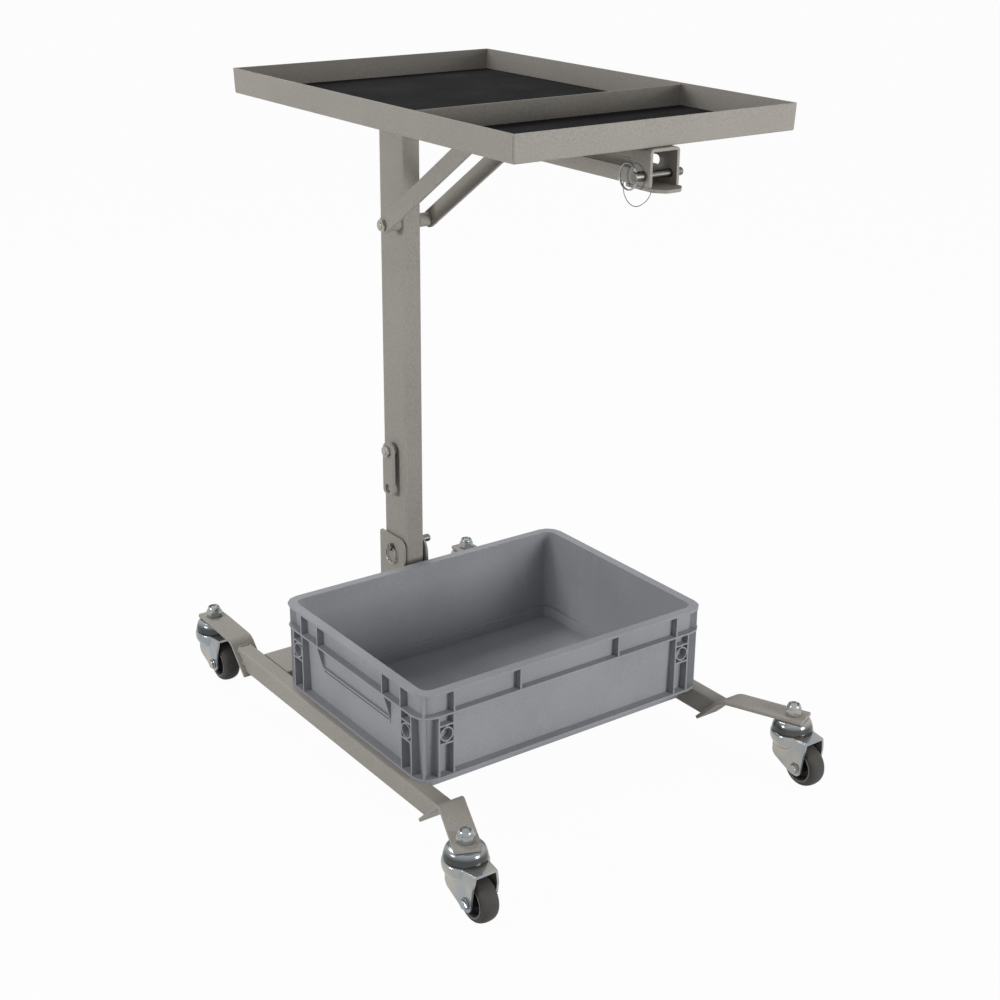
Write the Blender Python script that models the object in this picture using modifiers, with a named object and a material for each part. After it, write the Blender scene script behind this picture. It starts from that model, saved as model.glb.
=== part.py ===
"""Folding mobile workstand: castored base, folding mast, hinged tool tray and a lift-out storage box.

Metres, +Z up. The floor is Z = 0, the front of the stand faces -Y, and the origin is the
centre of the outer box on the floor. The model is shown unfolded and ready for use.
"""
import math

import bmesh
import bpy
from mathutils import Matrix, Vector

# Clearances
SEAT_GAP = 0.0003
RUN_GAP = 0.0004
PIN_GAP = 0.0003

# Casters
WHEELBASE = 0.615
FRONT_TRACK = 0.458
WHEEL_D = 0.050
WHEEL_W = 0.022
TYRE_T = 0.008
CASTER_TRAIL = 0.0235
AXLE_D = 0.006
FORK_R = 0.025
FORK_T = 0.0025
FORK_SIDE_GAP = 0.0032
FORK_BOSS_R = 0.009
FORK_HOOD = 0.036
FORK_CLEARANCE = 0.0088
CUP_R = 0.0235
CUP_H = 0.0135
KINGPIN_R = 0.0048
STEM_D = 0.010
STEM_NUT_AF = 0.0165
STEM_NUT_H = 0.0085
STEM_COLLAR_H = 0.0045
STEM_STICK_OUT = 0.001

# Base frame
STRIP_W = 0.030
STRIP_T = 0.004
STRIP_END = 0.016
STRIP_CORNER_R = 0.003
FRONT_BEND_BACK = 0.074
REAR_BEND_FORE = 0.073
REAR_KNEE_FORE = 0.017
REAR_KNEE_DROP = 0.0025
TAIL_UNDER_RAIL = 0.002
RAIL_W = 0.020
RAIL_H = 0.0255
RAIL_WALL = 0.002
RAIL_STEP = 0.010
CROSS_W = 0.060
CROSS_BEHIND_MAST = 0.004

# Storage box
BOX_L = 0.400
BOX_W = 0.300
BOX_H = 0.120
BOX_CORNER_R = 0.020
BOX_FRONT_GAP = 0.124
BOX_SIDE_PLAY = 0.0025
BOX_WALL = 0.0025
BOX_FLOOR = 0.003
BOX_RIM_OUT = 0.0085
BOX_RIM_T = 0.003
BOX_BAND_H = 0.030
BOX_BAND_INSET = 0.0003
BOX_FLANGE_T = 0.0022
BOX_LIP_INSET = 0.001
BOX_LIP_T = 0.003
BOX_STEP_H = 0.014
BOX_STEP_INSET = 0.0155
BOX_DRAFT = 0.003
BOX_RIB_T = 0.002
BOX_RIB_SETBACK = 0.0006
BOX_LONG_BAND_RIBS = (0.069, 0.157)
BOX_SHORT_BAND_RIBS = (0.070, 0.107)
BOX_LONG_COLUMN = (0.157, 0.176)
BOX_SHORT_COLUMN = (0.107, 0.127)
BOX_CELL_DROP = 0.012
BOX_CELL_H = 0.022
BOX_RING_WALL = 0.0016
GRIP_LENGTH = 0.140
GRIP_DEPTH = 0.013
GRIP_H = 0.034
GRIP_ROOF_RISE = 0.014

# Mast and its bracket
MAST_W = 0.025
MAST_D = 0.050
MAST_WALL = 0.002
MAST_CORNER_R = 0.003
MAST_FOOT = 0.033
BOX_MAST_GAP = 0.018
FOLD_PIN_Z = 0.1845
FOLD_PIN_D = 0.010
FOLD_PIN_LEFT = 0.0065
FOLD_PIN_RIGHT = 0.0155
BRACKET_T = 0.0045
BRACKET_SIDE_GAP = 0.0005
BRACKET_FRONT = 0.003
BRACKET_ABOVE_PIN = 0.015
BRACKET_FRONT_R = 0.028
BRACKET_BACK_R = 0.004
BRACKET_FOOT_T = 0.005
PIN_TIP = 0.0015

# Pull rings
RING_WIRE_D = 0.0022
FOLD_RING_R = 0.0108
LOCK_RING_R = 0.0125
LOCK_RING_BACK = 0.0119
LOCK_RING_DROP = 0.0015
RING_HOLE_D = 0.0056
RING_HOLE_DROP = 0.0004
KEEPER_R = 0.0170
KEEPER_WIRE_D = 0.0010
KEEPER_BACK = 0.0040
KEEPER_DOWN = 0.0115
KEEPER_START = 184.0
KEEPER_END = 372.0
KEEPER_SPREAD = 0.35
KEEPER_POINTS = 30

# Tray, its channel and the hinge
TRAY_W = 0.346
TRAY_L = 0.528
TRAY_H = 0.027
TRAY_BOTTOM_Z = 0.7475
TRAY_T = 0.0015
TRAY_FLARE = 0.001
TRAY_REAR_OVERHANG = 0.044
DIVIDER_T = 0.0015
DIVIDER_FROM_FRONT = 0.170
DIVIDER_BELOW_RIM = 0.0015
MAT_T = 0.0025
MAT_MARGIN = 0.0012
CHANNEL_W = 0.036
CHANNEL_H = 0.036
CHANNEL_T = 0.003
CHANNEL_CORNER_R = 0.004
CHANNEL_FRONT_OUT = 0.004
CHANNEL_REAR_IN = 0.024
SLOT_H = 0.0095
SLOT_DROP = 0.0165
SLOT_FRONT_IN = 0.030
SLOT_END_PLAY = 0.001
LOCK_PIN_D = 0.008
LOCK_PIN_HEAD_D = 0.010
LOCK_PIN_IN = 0.010
LOCK_PIN_DROP = 0.026
LOCK_PIN_LEFT = 0.0115
LOCK_PIN_RIGHT = 0.0120
TAB_T = 0.0034
TAB_OUT = 0.015
TAB_IN = 0.035
TAB_CHAMFER = 0.010
HINGE_FRONT = 0.003
HINGE_DROP = 0.0015
HINGE_BOLT_D = 0.008
HINGE_EAR_R = 0.010
BARREL_R = 0.007
BARREL_SINK = 0.0015
HEAD_T = 0.004

# Braces and the folding link
BRACE_W = 0.020
BRACE_T = 0.004
BRACE_INNER_X = 0.029
BRACE_PIVOT_Z = 0.597
BRACE_PIVOT_IN = 0.0095
BRACE_REACH = 0.195
SPACER_D = 0.0165
SLIDE_PIN_D = 0.008
LINK_W = 0.022
LINK_T = 0.004
LINK_PIVOT_Z = 0.3125
LINK_BEHIND = 0.001
LINK_OUT = 0.0005
LINK_HOLE_D = 0.0112
LINK_END_BELOW = 0.0075
LINK_END_R = 0.005
BOLT_D = 0.008
BOLT_HEAD_AF = 0.013
BOLT_HEAD_H = 0.0055
BOLT_NUT_H = 0.0065
BOLT_END = 0.002

# Facets
ROUND_SIDES = 18
TYRE_SIDES = 24
HUB_SIDES = 16
SMALL_SIDES = 12
CELL_SIDES = 10
RING_SIDES = 18
CORNER_STEPS = 3

# Derived places
FRONT_OVERHANG = CASTER_TRAIL + WHEEL_D / 2
LENGTH = FRONT_OVERHANG + WHEELBASE + FORK_R
FRONT_PIVOT_Y = FRONT_OVERHANG - LENGTH / 2
REAR_PIVOT_Y = LENGTH / 2 - FORK_R
FORK_TOP_Z = WHEEL_D + FORK_CLEARANCE + FORK_T
CUP_BOTTOM_Z = FORK_TOP_Z + RUN_GAP
CUP_TOP_Z = CUP_BOTTOM_Z + CUP_H
STRIP_BOTTOM_Z = CUP_TOP_Z + SEAT_GAP
STRIP_TOP_Z = STRIP_BOTTOM_Z + STRIP_T
RAIL_X = BOX_L / 2 - BOX_STEP_INSET + BOX_SIDE_PLAY + RAIL_W / 2
RAIL_TOP_Z = STRIP_TOP_Z - RAIL_STEP
RAIL_BOTTOM_Z = RAIL_TOP_Z - RAIL_H
TAIL_BOTTOM_Z = RAIL_BOTTOM_Z - TAIL_UNDER_RAIL
FRONT_BEND_Y = FRONT_PIVOT_Y + FRONT_BEND_BACK
REAR_BEND_Y = REAR_PIVOT_Y - REAR_BEND_FORE
REAR_BEND_Z = STRIP_TOP_Z - REAR_KNEE_DROP

BOX_Y = FRONT_PIVOT_Y + BOX_FRONT_GAP + BOX_W / 2
BOX_LIP_Z = RAIL_TOP_Z + SEAT_GAP
BOX_BASE_Z = BOX_LIP_Z - BOX_STEP_H
BOX_RIM_Z = BOX_BASE_Z + BOX_H
BOX_BAND_Z = BOX_RIM_Z - BOX_BAND_H

MAST_Y = BOX_Y + BOX_W / 2 + BOX_MAST_GAP + MAST_D / 2
MAST_FRONT_Y = MAST_Y - MAST_D / 2
MAST_BACK_Y = MAST_Y + MAST_D / 2
MAST_FOOT_Z = FOLD_PIN_Z - MAST_FOOT
BRACKET_X = MAST_W / 2 + BRACKET_SIDE_GAP
BRACKET_OUT_X = BRACKET_X + BRACKET_T
FOLD_PIN_LEFT_X = -BRACKET_OUT_X - FOLD_PIN_LEFT
FOLD_PIN_RIGHT_X = BRACKET_OUT_X + FOLD_PIN_RIGHT

TRAY_REAR_Y = MAST_BACK_Y + TRAY_REAR_OVERHANG
TRAY_FRONT_Y = TRAY_REAR_Y - TRAY_L
TRAY_RIM_Z = TRAY_BOTTOM_Z + TRAY_H
TRAY_FLOOR_Z = TRAY_BOTTOM_Z + TRAY_T
DIVIDER_Y = TRAY_FRONT_Y + DIVIDER_FROM_FRONT
CHANNEL_TOP_Z = TRAY_BOTTOM_Z - SEAT_GAP
CHANNEL_BOTTOM_Z = CHANNEL_TOP_Z - CHANNEL_H
CHANNEL_FRONT_Y = TRAY_FRONT_Y - CHANNEL_FRONT_OUT
CHANNEL_REAR_Y = TRAY_REAR_Y - CHANNEL_REAR_IN
LOCK_PIN_Y = CHANNEL_FRONT_Y + LOCK_PIN_IN
LOCK_PIN_Z = CHANNEL_TOP_Z - LOCK_PIN_DROP
LOCK_PIN_LEFT_X = -CHANNEL_W / 2 - LOCK_PIN_LEFT
LOCK_PIN_RIGHT_X = CHANNEL_W / 2 + LOCK_PIN_RIGHT
TAB_TOP_Z = CHANNEL_BOTTOM_Z - SEAT_GAP
HINGE_Y = MAST_FRONT_Y - HINGE_FRONT
HINGE_Z = CHANNEL_BOTTOM_Z - HINGE_DROP
HEAD_TOP_Z = HINGE_Z - BARREL_R + BARREL_SINK
MAST_TOP_Z = HEAD_TOP_Z - HEAD_T - SEAT_GAP

BRACE_PIVOT_Y = MAST_FRONT_Y + BRACE_PIVOT_IN
SLOT_Z = CHANNEL_TOP_Z - SLOT_DROP
SLIDE_PIN_Y = BRACE_PIVOT_Y - BRACE_REACH
SLOT_REAR_Y = SLIDE_PIN_Y + SLOT_END_PLAY
SLOT_FRONT_Y = CHANNEL_FRONT_Y + SLOT_FRONT_IN
LINK_Y = MAST_Y + LINK_BEHIND
LINK_INNER_X = -CHANNEL_W / 2 - LINK_OUT
LINK_OUTER_X = LINK_INNER_X - LINK_T
FOLDED_PIN_Y = HINGE_Y - (LOCK_PIN_Z - HINGE_Z)
FOLDED_PIN_Z = HINGE_Z - (HINGE_Y - LOCK_PIN_Y)
LINK_CENTRES = math.hypot(LINK_Y - FOLDED_PIN_Y, LINK_PIVOT_Z - FOLDED_PIN_Z)

for old in list(bpy.data.objects):
    bpy.data.objects.remove(old, do_unlink=True)

PARTS = bpy.data.collections.new("folding_mobile_workstand")
CUTTERS = bpy.data.collections.new("cutters")
bpy.context.scene.collection.children.link(PARTS)
bpy.context.scene.collection.children.link(CUTTERS)

SIDEWAYS = Matrix(((0, 0, 1, 0), (1, 0, 0, 0), (0, 1, 0, 0), (0, 0, 0, 1)))
ENDWAYS = Matrix(((1, 0, 0, 0), (0, 0, -1, 0), (0, 1, 0, 0), (0, 0, 0, 1)))


def finish(name, colour, roughness, metallic):
    """A Principled material for one finish of the stand."""
    made = bpy.data.materials.new(name)
    made.use_nodes = True
    shader = made.node_tree.nodes["Principled BSDF"]
    shader.inputs["Base Color"].default_value = (*colour, 1)
    shader.inputs["Roughness"].default_value = roughness
    shader.inputs["Metallic"].default_value = metallic
    return made


PAINT = finish("silver_paint", (0.40, 0.385, 0.36), 0.45, 0.3)
ZINC = finish("bright_zinc", (0.62, 0.64, 0.64), 0.28, 1.0)
STEEL = finish("pin_steel", (0.42, 0.41, 0.39), 0.35, 1.0)
BOX_PLASTIC = finish("grey_polypropylene", (0.21, 0.235, 0.265), 0.5, 0.0)
MAT_RUBBER = finish("black_rubber", (0.015, 0.015, 0.016), 0.8, 0.0)
TYRE_RUBBER = finish("grey_tyre", (0.11, 0.105, 0.10), 0.7, 0.0)
HUB_PLASTIC = finish("dark_hub", (0.05, 0.05, 0.055), 0.5, 0.0)


def move_to(item, collection):
    """Put an object in one collection only."""
    for other in list(item.users_collection):
        other.objects.unlink(item)
    collection.objects.link(item)


def keep(item, name, material, parent=None):
    """Name a finished piece, give it its finish and hang it on its joint's empty."""
    item.name = name
    item.data.name = name
    item.data.materials.clear()
    item.data.materials.append(material)
    item.data.shade_smooth()
    item.data.set_sharp_from_angle(angle=math.radians(35))
    move_to(item, PARTS)
    if parent is not None:
        item.parent = parent
        item.matrix_parent_inverse = parent.matrix_world.inverted()
    return item


def as_cutter(item, collection=CUTTERS):
    """Show an operand as wire and leave it out of the finished object."""
    move_to(item, collection)
    item.hide_render = True
    item.display_type = "WIRE"


def combine(target, operation, others):
    """Add one exact Boolean to the target for each operand."""
    for other in others:
        as_cutter(other)
        step = target.modifiers.new(operation.lower(), "BOOLEAN")
        step.operation = operation
        step.solver = "EXACT"
        step.object = other
    return target


def cut(target, *others):
    """Take the operands away from the target."""
    return combine(target, "DIFFERENCE", others)


def fuse(target, *others):
    """Weld the operands to the target."""
    return combine(target, "UNION", others)


def fuse_group(target, name, others):
    """Weld a whole group of operands to the target in one Boolean."""
    group = bpy.data.collections.new(name)
    CUTTERS.children.link(group)
    for other in others:
        as_cutter(other, group)
    step = target.modifiers.new(name, "BOOLEAN")
    step.operation = "UNION"
    step.solver = "EXACT"
    step.operand_type = "COLLECTION"
    step.collection = group
    return target


def axis_empty(name, place, parent=None):
    """An empty on a joint's axis, which carries the pieces that move about it."""
    made = bpy.data.objects.new(name, None)
    made.location = place
    PARTS.objects.link(made)
    bpy.context.view_layer.update()
    if parent is not None:
        made.parent = parent
        made.matrix_parent_inverse = parent.matrix_world.inverted()
        bpy.context.view_layer.update()
    return made


def block(low, high):
    """A box between two corners."""
    low = Vector(low)
    high = Vector(high)
    bpy.ops.mesh.primitive_cube_add(size=1, location=(low + high) / 2)
    made = bpy.context.object
    made.scale = high - low
    bpy.ops.object.transform_apply(location=True, rotation=True, scale=True)
    return made


def rod(axis, start, end, across, diameter, sides=ROUND_SIDES):
    """A round or many-sided bar along X, Y or Z; across gives its other two coordinates."""
    turn = {"X": (0, math.pi / 2, 0), "Y": (math.pi / 2, 0, 0), "Z": (0, 0, 0)}[axis]
    middle = (start + end) / 2
    place = {"X": (middle, *across), "Y": (across[0], middle, across[1]), "Z": (*across, middle)}[axis]
    bpy.ops.mesh.primitive_cylinder_add(
        vertices=sides, radius=diameter / 2, depth=end - start, location=place, rotation=turn)
    bpy.ops.object.transform_apply(location=True, rotation=True, scale=True)
    return bpy.context.object


def hexagon(start, end, across, flats):
    """A hexagonal head or nut along X."""
    return rod("X", start, end, across, flats / math.cos(math.pi / 6), sides=6)


def turned(name, profile, closed=False, steps=ROUND_SIDES):
    """A profile of (radius, height) points, run top to bottom on its outer side and spun about Z."""
    mesh = bpy.data.meshes.new(name)
    edges = [(i, i + 1) for i in range(len(profile) - 1)]
    if closed:
        edges.append((len(profile) - 1, 0))
    mesh.from_pydata([(radius, 0, height) for radius, height in profile], edges, [])
    made = bpy.data.objects.new(name, mesh)
    PARTS.objects.link(made)
    spin = made.modifiers.new("spin", "SCREW")
    spin.steps = steps
    spin.render_steps = steps
    spin.use_merge_vertices = True
    spin.merge_threshold = 0.00001
    return made


def arc(centre, radius, start, end, steps=CORNER_STEPS):
    """Points on an arc, angles in degrees."""
    turns = [math.radians(start + (end - start) * i / steps) for i in range(steps + 1)]
    return [(centre[0] + radius * math.cos(t), centre[1] + radius * math.sin(t)) for t in turns]


def rounded(points, radii, steps=CORNER_STEPS):
    """A closed outline with each corner rounded by its own radius; zero keeps it sharp."""
    outline = []
    for i, corner in enumerate(points):
        here = Vector(corner)
        back = (Vector(points[i - 1]) - here).normalized()
        ahead = (Vector(points[(i + 1) % len(points)]) - here).normalized()
        radius = radii[i]
        if radius == 0:
            outline.append(tuple(here))
            continue
        half = back.angle(ahead) / 2
        middle = here + (back + ahead).normalized() * radius / math.sin(half)
        first = here + back * radius / math.tan(half) - middle
        last = here + ahead * radius / math.tan(half) - middle
        sweep = first.angle_signed(last)
        for step in range(steps + 1):
            spun = first.copy()
            spun.rotate(Matrix.Rotation(-sweep * step / steps, 2))
            outline.append(tuple(middle + spun))
    return outline


def rectangle(low, high, radius=0.0):
    """A rectangle's outline with four equal corners."""
    corners = [(low[0], low[1]), (high[0], low[1]), (high[0], high[1]), (low[0], high[1])]
    return rounded(corners, [radius] * 4)


def extruded(loops, low, high, facing=None):
    """A flat outline, with holes as further loops, drawn out from low to high along its normal."""
    curve = bpy.data.curves.new("outline", "CURVE")
    curve.dimensions = "2D"
    curve.fill_mode = "BOTH"
    curve.extrude = (high - low) / 2
    for loop in loops:
        spline = curve.splines.new("POLY")
        spline.points.add(len(loop) - 1)
        for point, place in zip(spline.points, loop):
            point.co = (*place, 0, 1)
        spline.use_cyclic_u = True
    drawn = bpy.data.objects.new("outline", curve)
    PARTS.objects.link(drawn)
    bpy.context.view_layer.update()
    mesh = bpy.data.meshes.new_from_object(drawn.evaluated_get(bpy.context.evaluated_depsgraph_get()))
    bpy.data.objects.remove(drawn, do_unlink=True)
    shape = bmesh.new()
    shape.from_mesh(mesh)
    bmesh.ops.remove_doubles(shape, verts=shape.verts, dist=0.000001)
    bmesh.ops.translate(shape, verts=shape.verts, vec=(0, 0, (low + high) / 2))
    if facing is not None:
        bmesh.ops.transform(shape, matrix=facing, verts=shape.verts)
    shape.to_mesh(mesh)
    shape.free()
    made = bpy.data.objects.new("outline", mesh)
    PARTS.objects.link(made)
    return made


def bent_sheet(faces, thickness):
    """Flat faces that share their bend lines, given a sheet's thickness below them."""
    shape = bmesh.new()
    corners = {}
    for face in faces:
        points = []
        for place in face:
            key = tuple(round(value, 7) for value in place)
            if key not in corners:
                corners[key] = shape.verts.new(place)
            points.append(corners[key])
        shape.faces.new(points)
    mesh = bpy.data.meshes.new("sheet")
    shape.to_mesh(mesh)
    shape.free()
    made = bpy.data.objects.new("sheet", mesh)
    PARTS.objects.link(made)
    wall = made.modifiers.new("thickness", "SOLIDIFY")
    wall.thickness = thickness
    wall.offset = -1
    wall.use_even_offset = True
    return made


def wire_ring(centre, radius):
    """A round wire ring that stands in the YZ plane."""
    bpy.ops.mesh.primitive_torus_add(
        location=centre, rotation=(0, math.pi / 2, 0), major_radius=radius, minor_radius=RING_WIRE_D / 2,
        major_segments=RING_SIDES, minor_segments=6)
    bpy.ops.object.transform_apply(location=True, rotation=True, scale=True)
    return bpy.context.object


def flat_area(outline, z):
    """Lift a plan outline to a height."""
    return [(x, y, z) for x, y in outline]


# Base frame


def rail(side):
    """Square tube along one side, mitred at both ends onto the sloping tails of the strips."""
    start = FRONT_BEND_Y
    end = REAR_BEND_Y
    low = side * RAIL_X - RAIL_W / 2
    high = side * RAIL_X + RAIL_W / 2
    outer = rectangle((low, RAIL_BOTTOM_Z), (high, RAIL_TOP_Z), RAIL_WALL)
    inner = rectangle(
        (low + RAIL_WALL, RAIL_BOTTOM_Z + RAIL_WALL), (high - RAIL_WALL, RAIL_TOP_Z - RAIL_WALL))
    made = extruded([outer, inner], -end, -start, ENDWAYS)
    wide = (side * RAIL_X - RAIL_W, side * RAIL_X + RAIL_W)
    reach = RAIL_H + 2 * RAIL_STEP
    seat = SEAT_GAP * math.sqrt(2)
    front_nose = (FRONT_BEND_Y + seat, STRIP_TOP_Z)
    front = [front_nose, (front_nose[0] - reach, front_nose[1]), (front_nose[0] - reach, front_nose[1] - 2 * reach),
             (front_nose[0] + 2 * reach, front_nose[1] - 2 * reach)]
    rear_nose = (REAR_BEND_Y - seat, REAR_BEND_Z)
    rear = [rear_nose, (rear_nose[0] - 2 * reach, rear_nose[1] - 2 * reach),
            (rear_nose[0] + reach, rear_nose[1] - 2 * reach), (rear_nose[0] + reach, rear_nose[1])]
    cut(made, extruded([front], *wide, SIDEWAYS), extruded([rear], *wide, SIDEWAYS))
    keep(made, f"{'left' if side < 0 else 'right'}_rail", PAINT)


def cross_member():
    """Flat tube between the rails that carries the mast bracket."""
    low_y = MAST_Y + CROSS_BEHIND_MAST - CROSS_W / 2
    outer = rectangle((low_y, RAIL_BOTTOM_Z), (low_y + CROSS_W, RAIL_TOP_Z), RAIL_WALL)
    inner = rectangle(
        (low_y + RAIL_WALL, RAIL_BOTTOM_Z + RAIL_WALL), (low_y + CROSS_W - RAIL_WALL, RAIL_TOP_Z - RAIL_WALL))
    half = RAIL_X - RAIL_W / 2 - SEAT_GAP
    keep(extruded([outer, inner], -half, half, SIDEWAYS), "rear_cross_member", PAINT)


def front_strip(side):
    """Flat bar bent up from the rail's front end and splayed outwards to its caster."""
    pivot = Vector((side * FRONT_TRACK / 2, FRONT_PIVOT_Y))
    root = Vector((side * RAIL_X, FRONT_BEND_Y))
    along = (pivot - root).normalized()
    across = Vector((along.y, -along.x)) * side
    half_bend = STRIP_W / 2 / abs(along.y)
    tip = pivot + along * STRIP_END
    corners = [root - Vector((side * half_bend, 0)), tip + across * STRIP_W / 2,
               tip - across * STRIP_W / 2, root + Vector((side * half_bend, 0))]
    outline = rounded([tuple(corner) for corner in corners], [0, STRIP_CORNER_R, STRIP_CORNER_R, 0])
    drop = STRIP_TOP_Z - TAIL_BOTTOM_Z
    bend = [(corner.x, corner.y, STRIP_TOP_Z) for corner in (corners[0], corners[3])]
    foot = [(x, y + drop, TAIL_BOTTOM_Z) for x, y, _ in bend]
    tail = [bend[1], foot[1], foot[0], bend[0]]
    faces = [flat_area(outline, STRIP_TOP_Z), tail]
    if side < 0:
        faces = [face[::-1] for face in faces]
    made = bent_sheet(faces, STRIP_T)
    hole = rod("Z", STRIP_BOTTOM_Z - STRIP_T, STRIP_TOP_Z + STRIP_T, tuple(pivot), STEM_D + 2 * PIN_GAP, SMALL_SIDES)
    keep(cut(made, hole), f"front_{'left' if side < 0 else 'right'}_caster_strip", PAINT)


def rear_strip(side):
    """Flat bar that steps up behind the rail and runs straight back over its caster."""
    low = side * RAIL_X - STRIP_W / 2
    high = side * RAIL_X + STRIP_W / 2
    knee = REAR_PIVOT_Y - REAR_KNEE_FORE
    end = REAR_PIVOT_Y + STRIP_END
    tail_y = REAR_BEND_Y - (REAR_BEND_Z - TAIL_BOTTOM_Z)
    outline = rounded([(low, knee), (high, knee), (high, end), (low, end)], [0, 0, STRIP_CORNER_R, STRIP_CORNER_R])
    knee_low, knee_high = (low, knee, STRIP_TOP_Z), (high, knee, STRIP_TOP_Z)
    bend_low, bend_high = (low, REAR_BEND_Y, REAR_BEND_Z), (high, REAR_BEND_Y, REAR_BEND_Z)
    faces = [
        flat_area(outline, STRIP_TOP_Z),
        [bend_low, bend_high, knee_high, knee_low],
        [(low, tail_y, TAIL_BOTTOM_Z), (high, tail_y, TAIL_BOTTOM_Z), bend_high, bend_low]]
    made = bent_sheet(faces, STRIP_T)
    hole = rod("Z", STRIP_BOTTOM_Z - STRIP_T, STRIP_TOP_Z + STRIP_T, (side * RAIL_X, REAR_PIVOT_Y),
               STEM_D + 2 * PIN_GAP, SMALL_SIDES)
    keep(cut(made, hole), f"rear_{'left' if side < 0 else 'right'}_caster_strip", PAINT)


def mast_bracket():
    """Two cheeks, a rear stop web and a foot plate, welded up around the foot of the mast."""
    front = MAST_FRONT_Y - BRACKET_FRONT
    back = MAST_BACK_Y + SEAT_GAP + BRACKET_T
    top = FOLD_PIN_Z + BRACKET_ABOVE_PIN
    foot = RAIL_TOP_Z + SEAT_GAP
    cheek = rounded([(front, foot), (back, foot), (back, top), (front, top)], [0, 0, BRACKET_BACK_R, BRACKET_FRONT_R])
    made = extruded([cheek], BRACKET_X, BRACKET_OUT_X, SIDEWAYS)
    other = extruded([cheek], -BRACKET_OUT_X, -BRACKET_X, SIDEWAYS)
    web_top = FOLD_PIN_Z - MAST_D / 2 - RUN_GAP
    overlap = BRACKET_T / 2
    half = BRACKET_X + overlap
    web = block((-half, back - BRACKET_T, foot + overlap), (half, back - SEAT_GAP, web_top))
    floor = block((-half, front + SEAT_GAP, foot + SEAT_GAP), (half, back - overlap, foot + BRACKET_FOOT_T))
    fuse(made, other, web, floor)
    reach = 2 * BRACKET_OUT_X
    cut(made, rod("X", -reach, reach, (MAST_Y, FOLD_PIN_Z), FOLD_PIN_D + 2 * PIN_GAP))
    keep(made, "mast_bracket", PAINT)


# Casters


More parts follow.
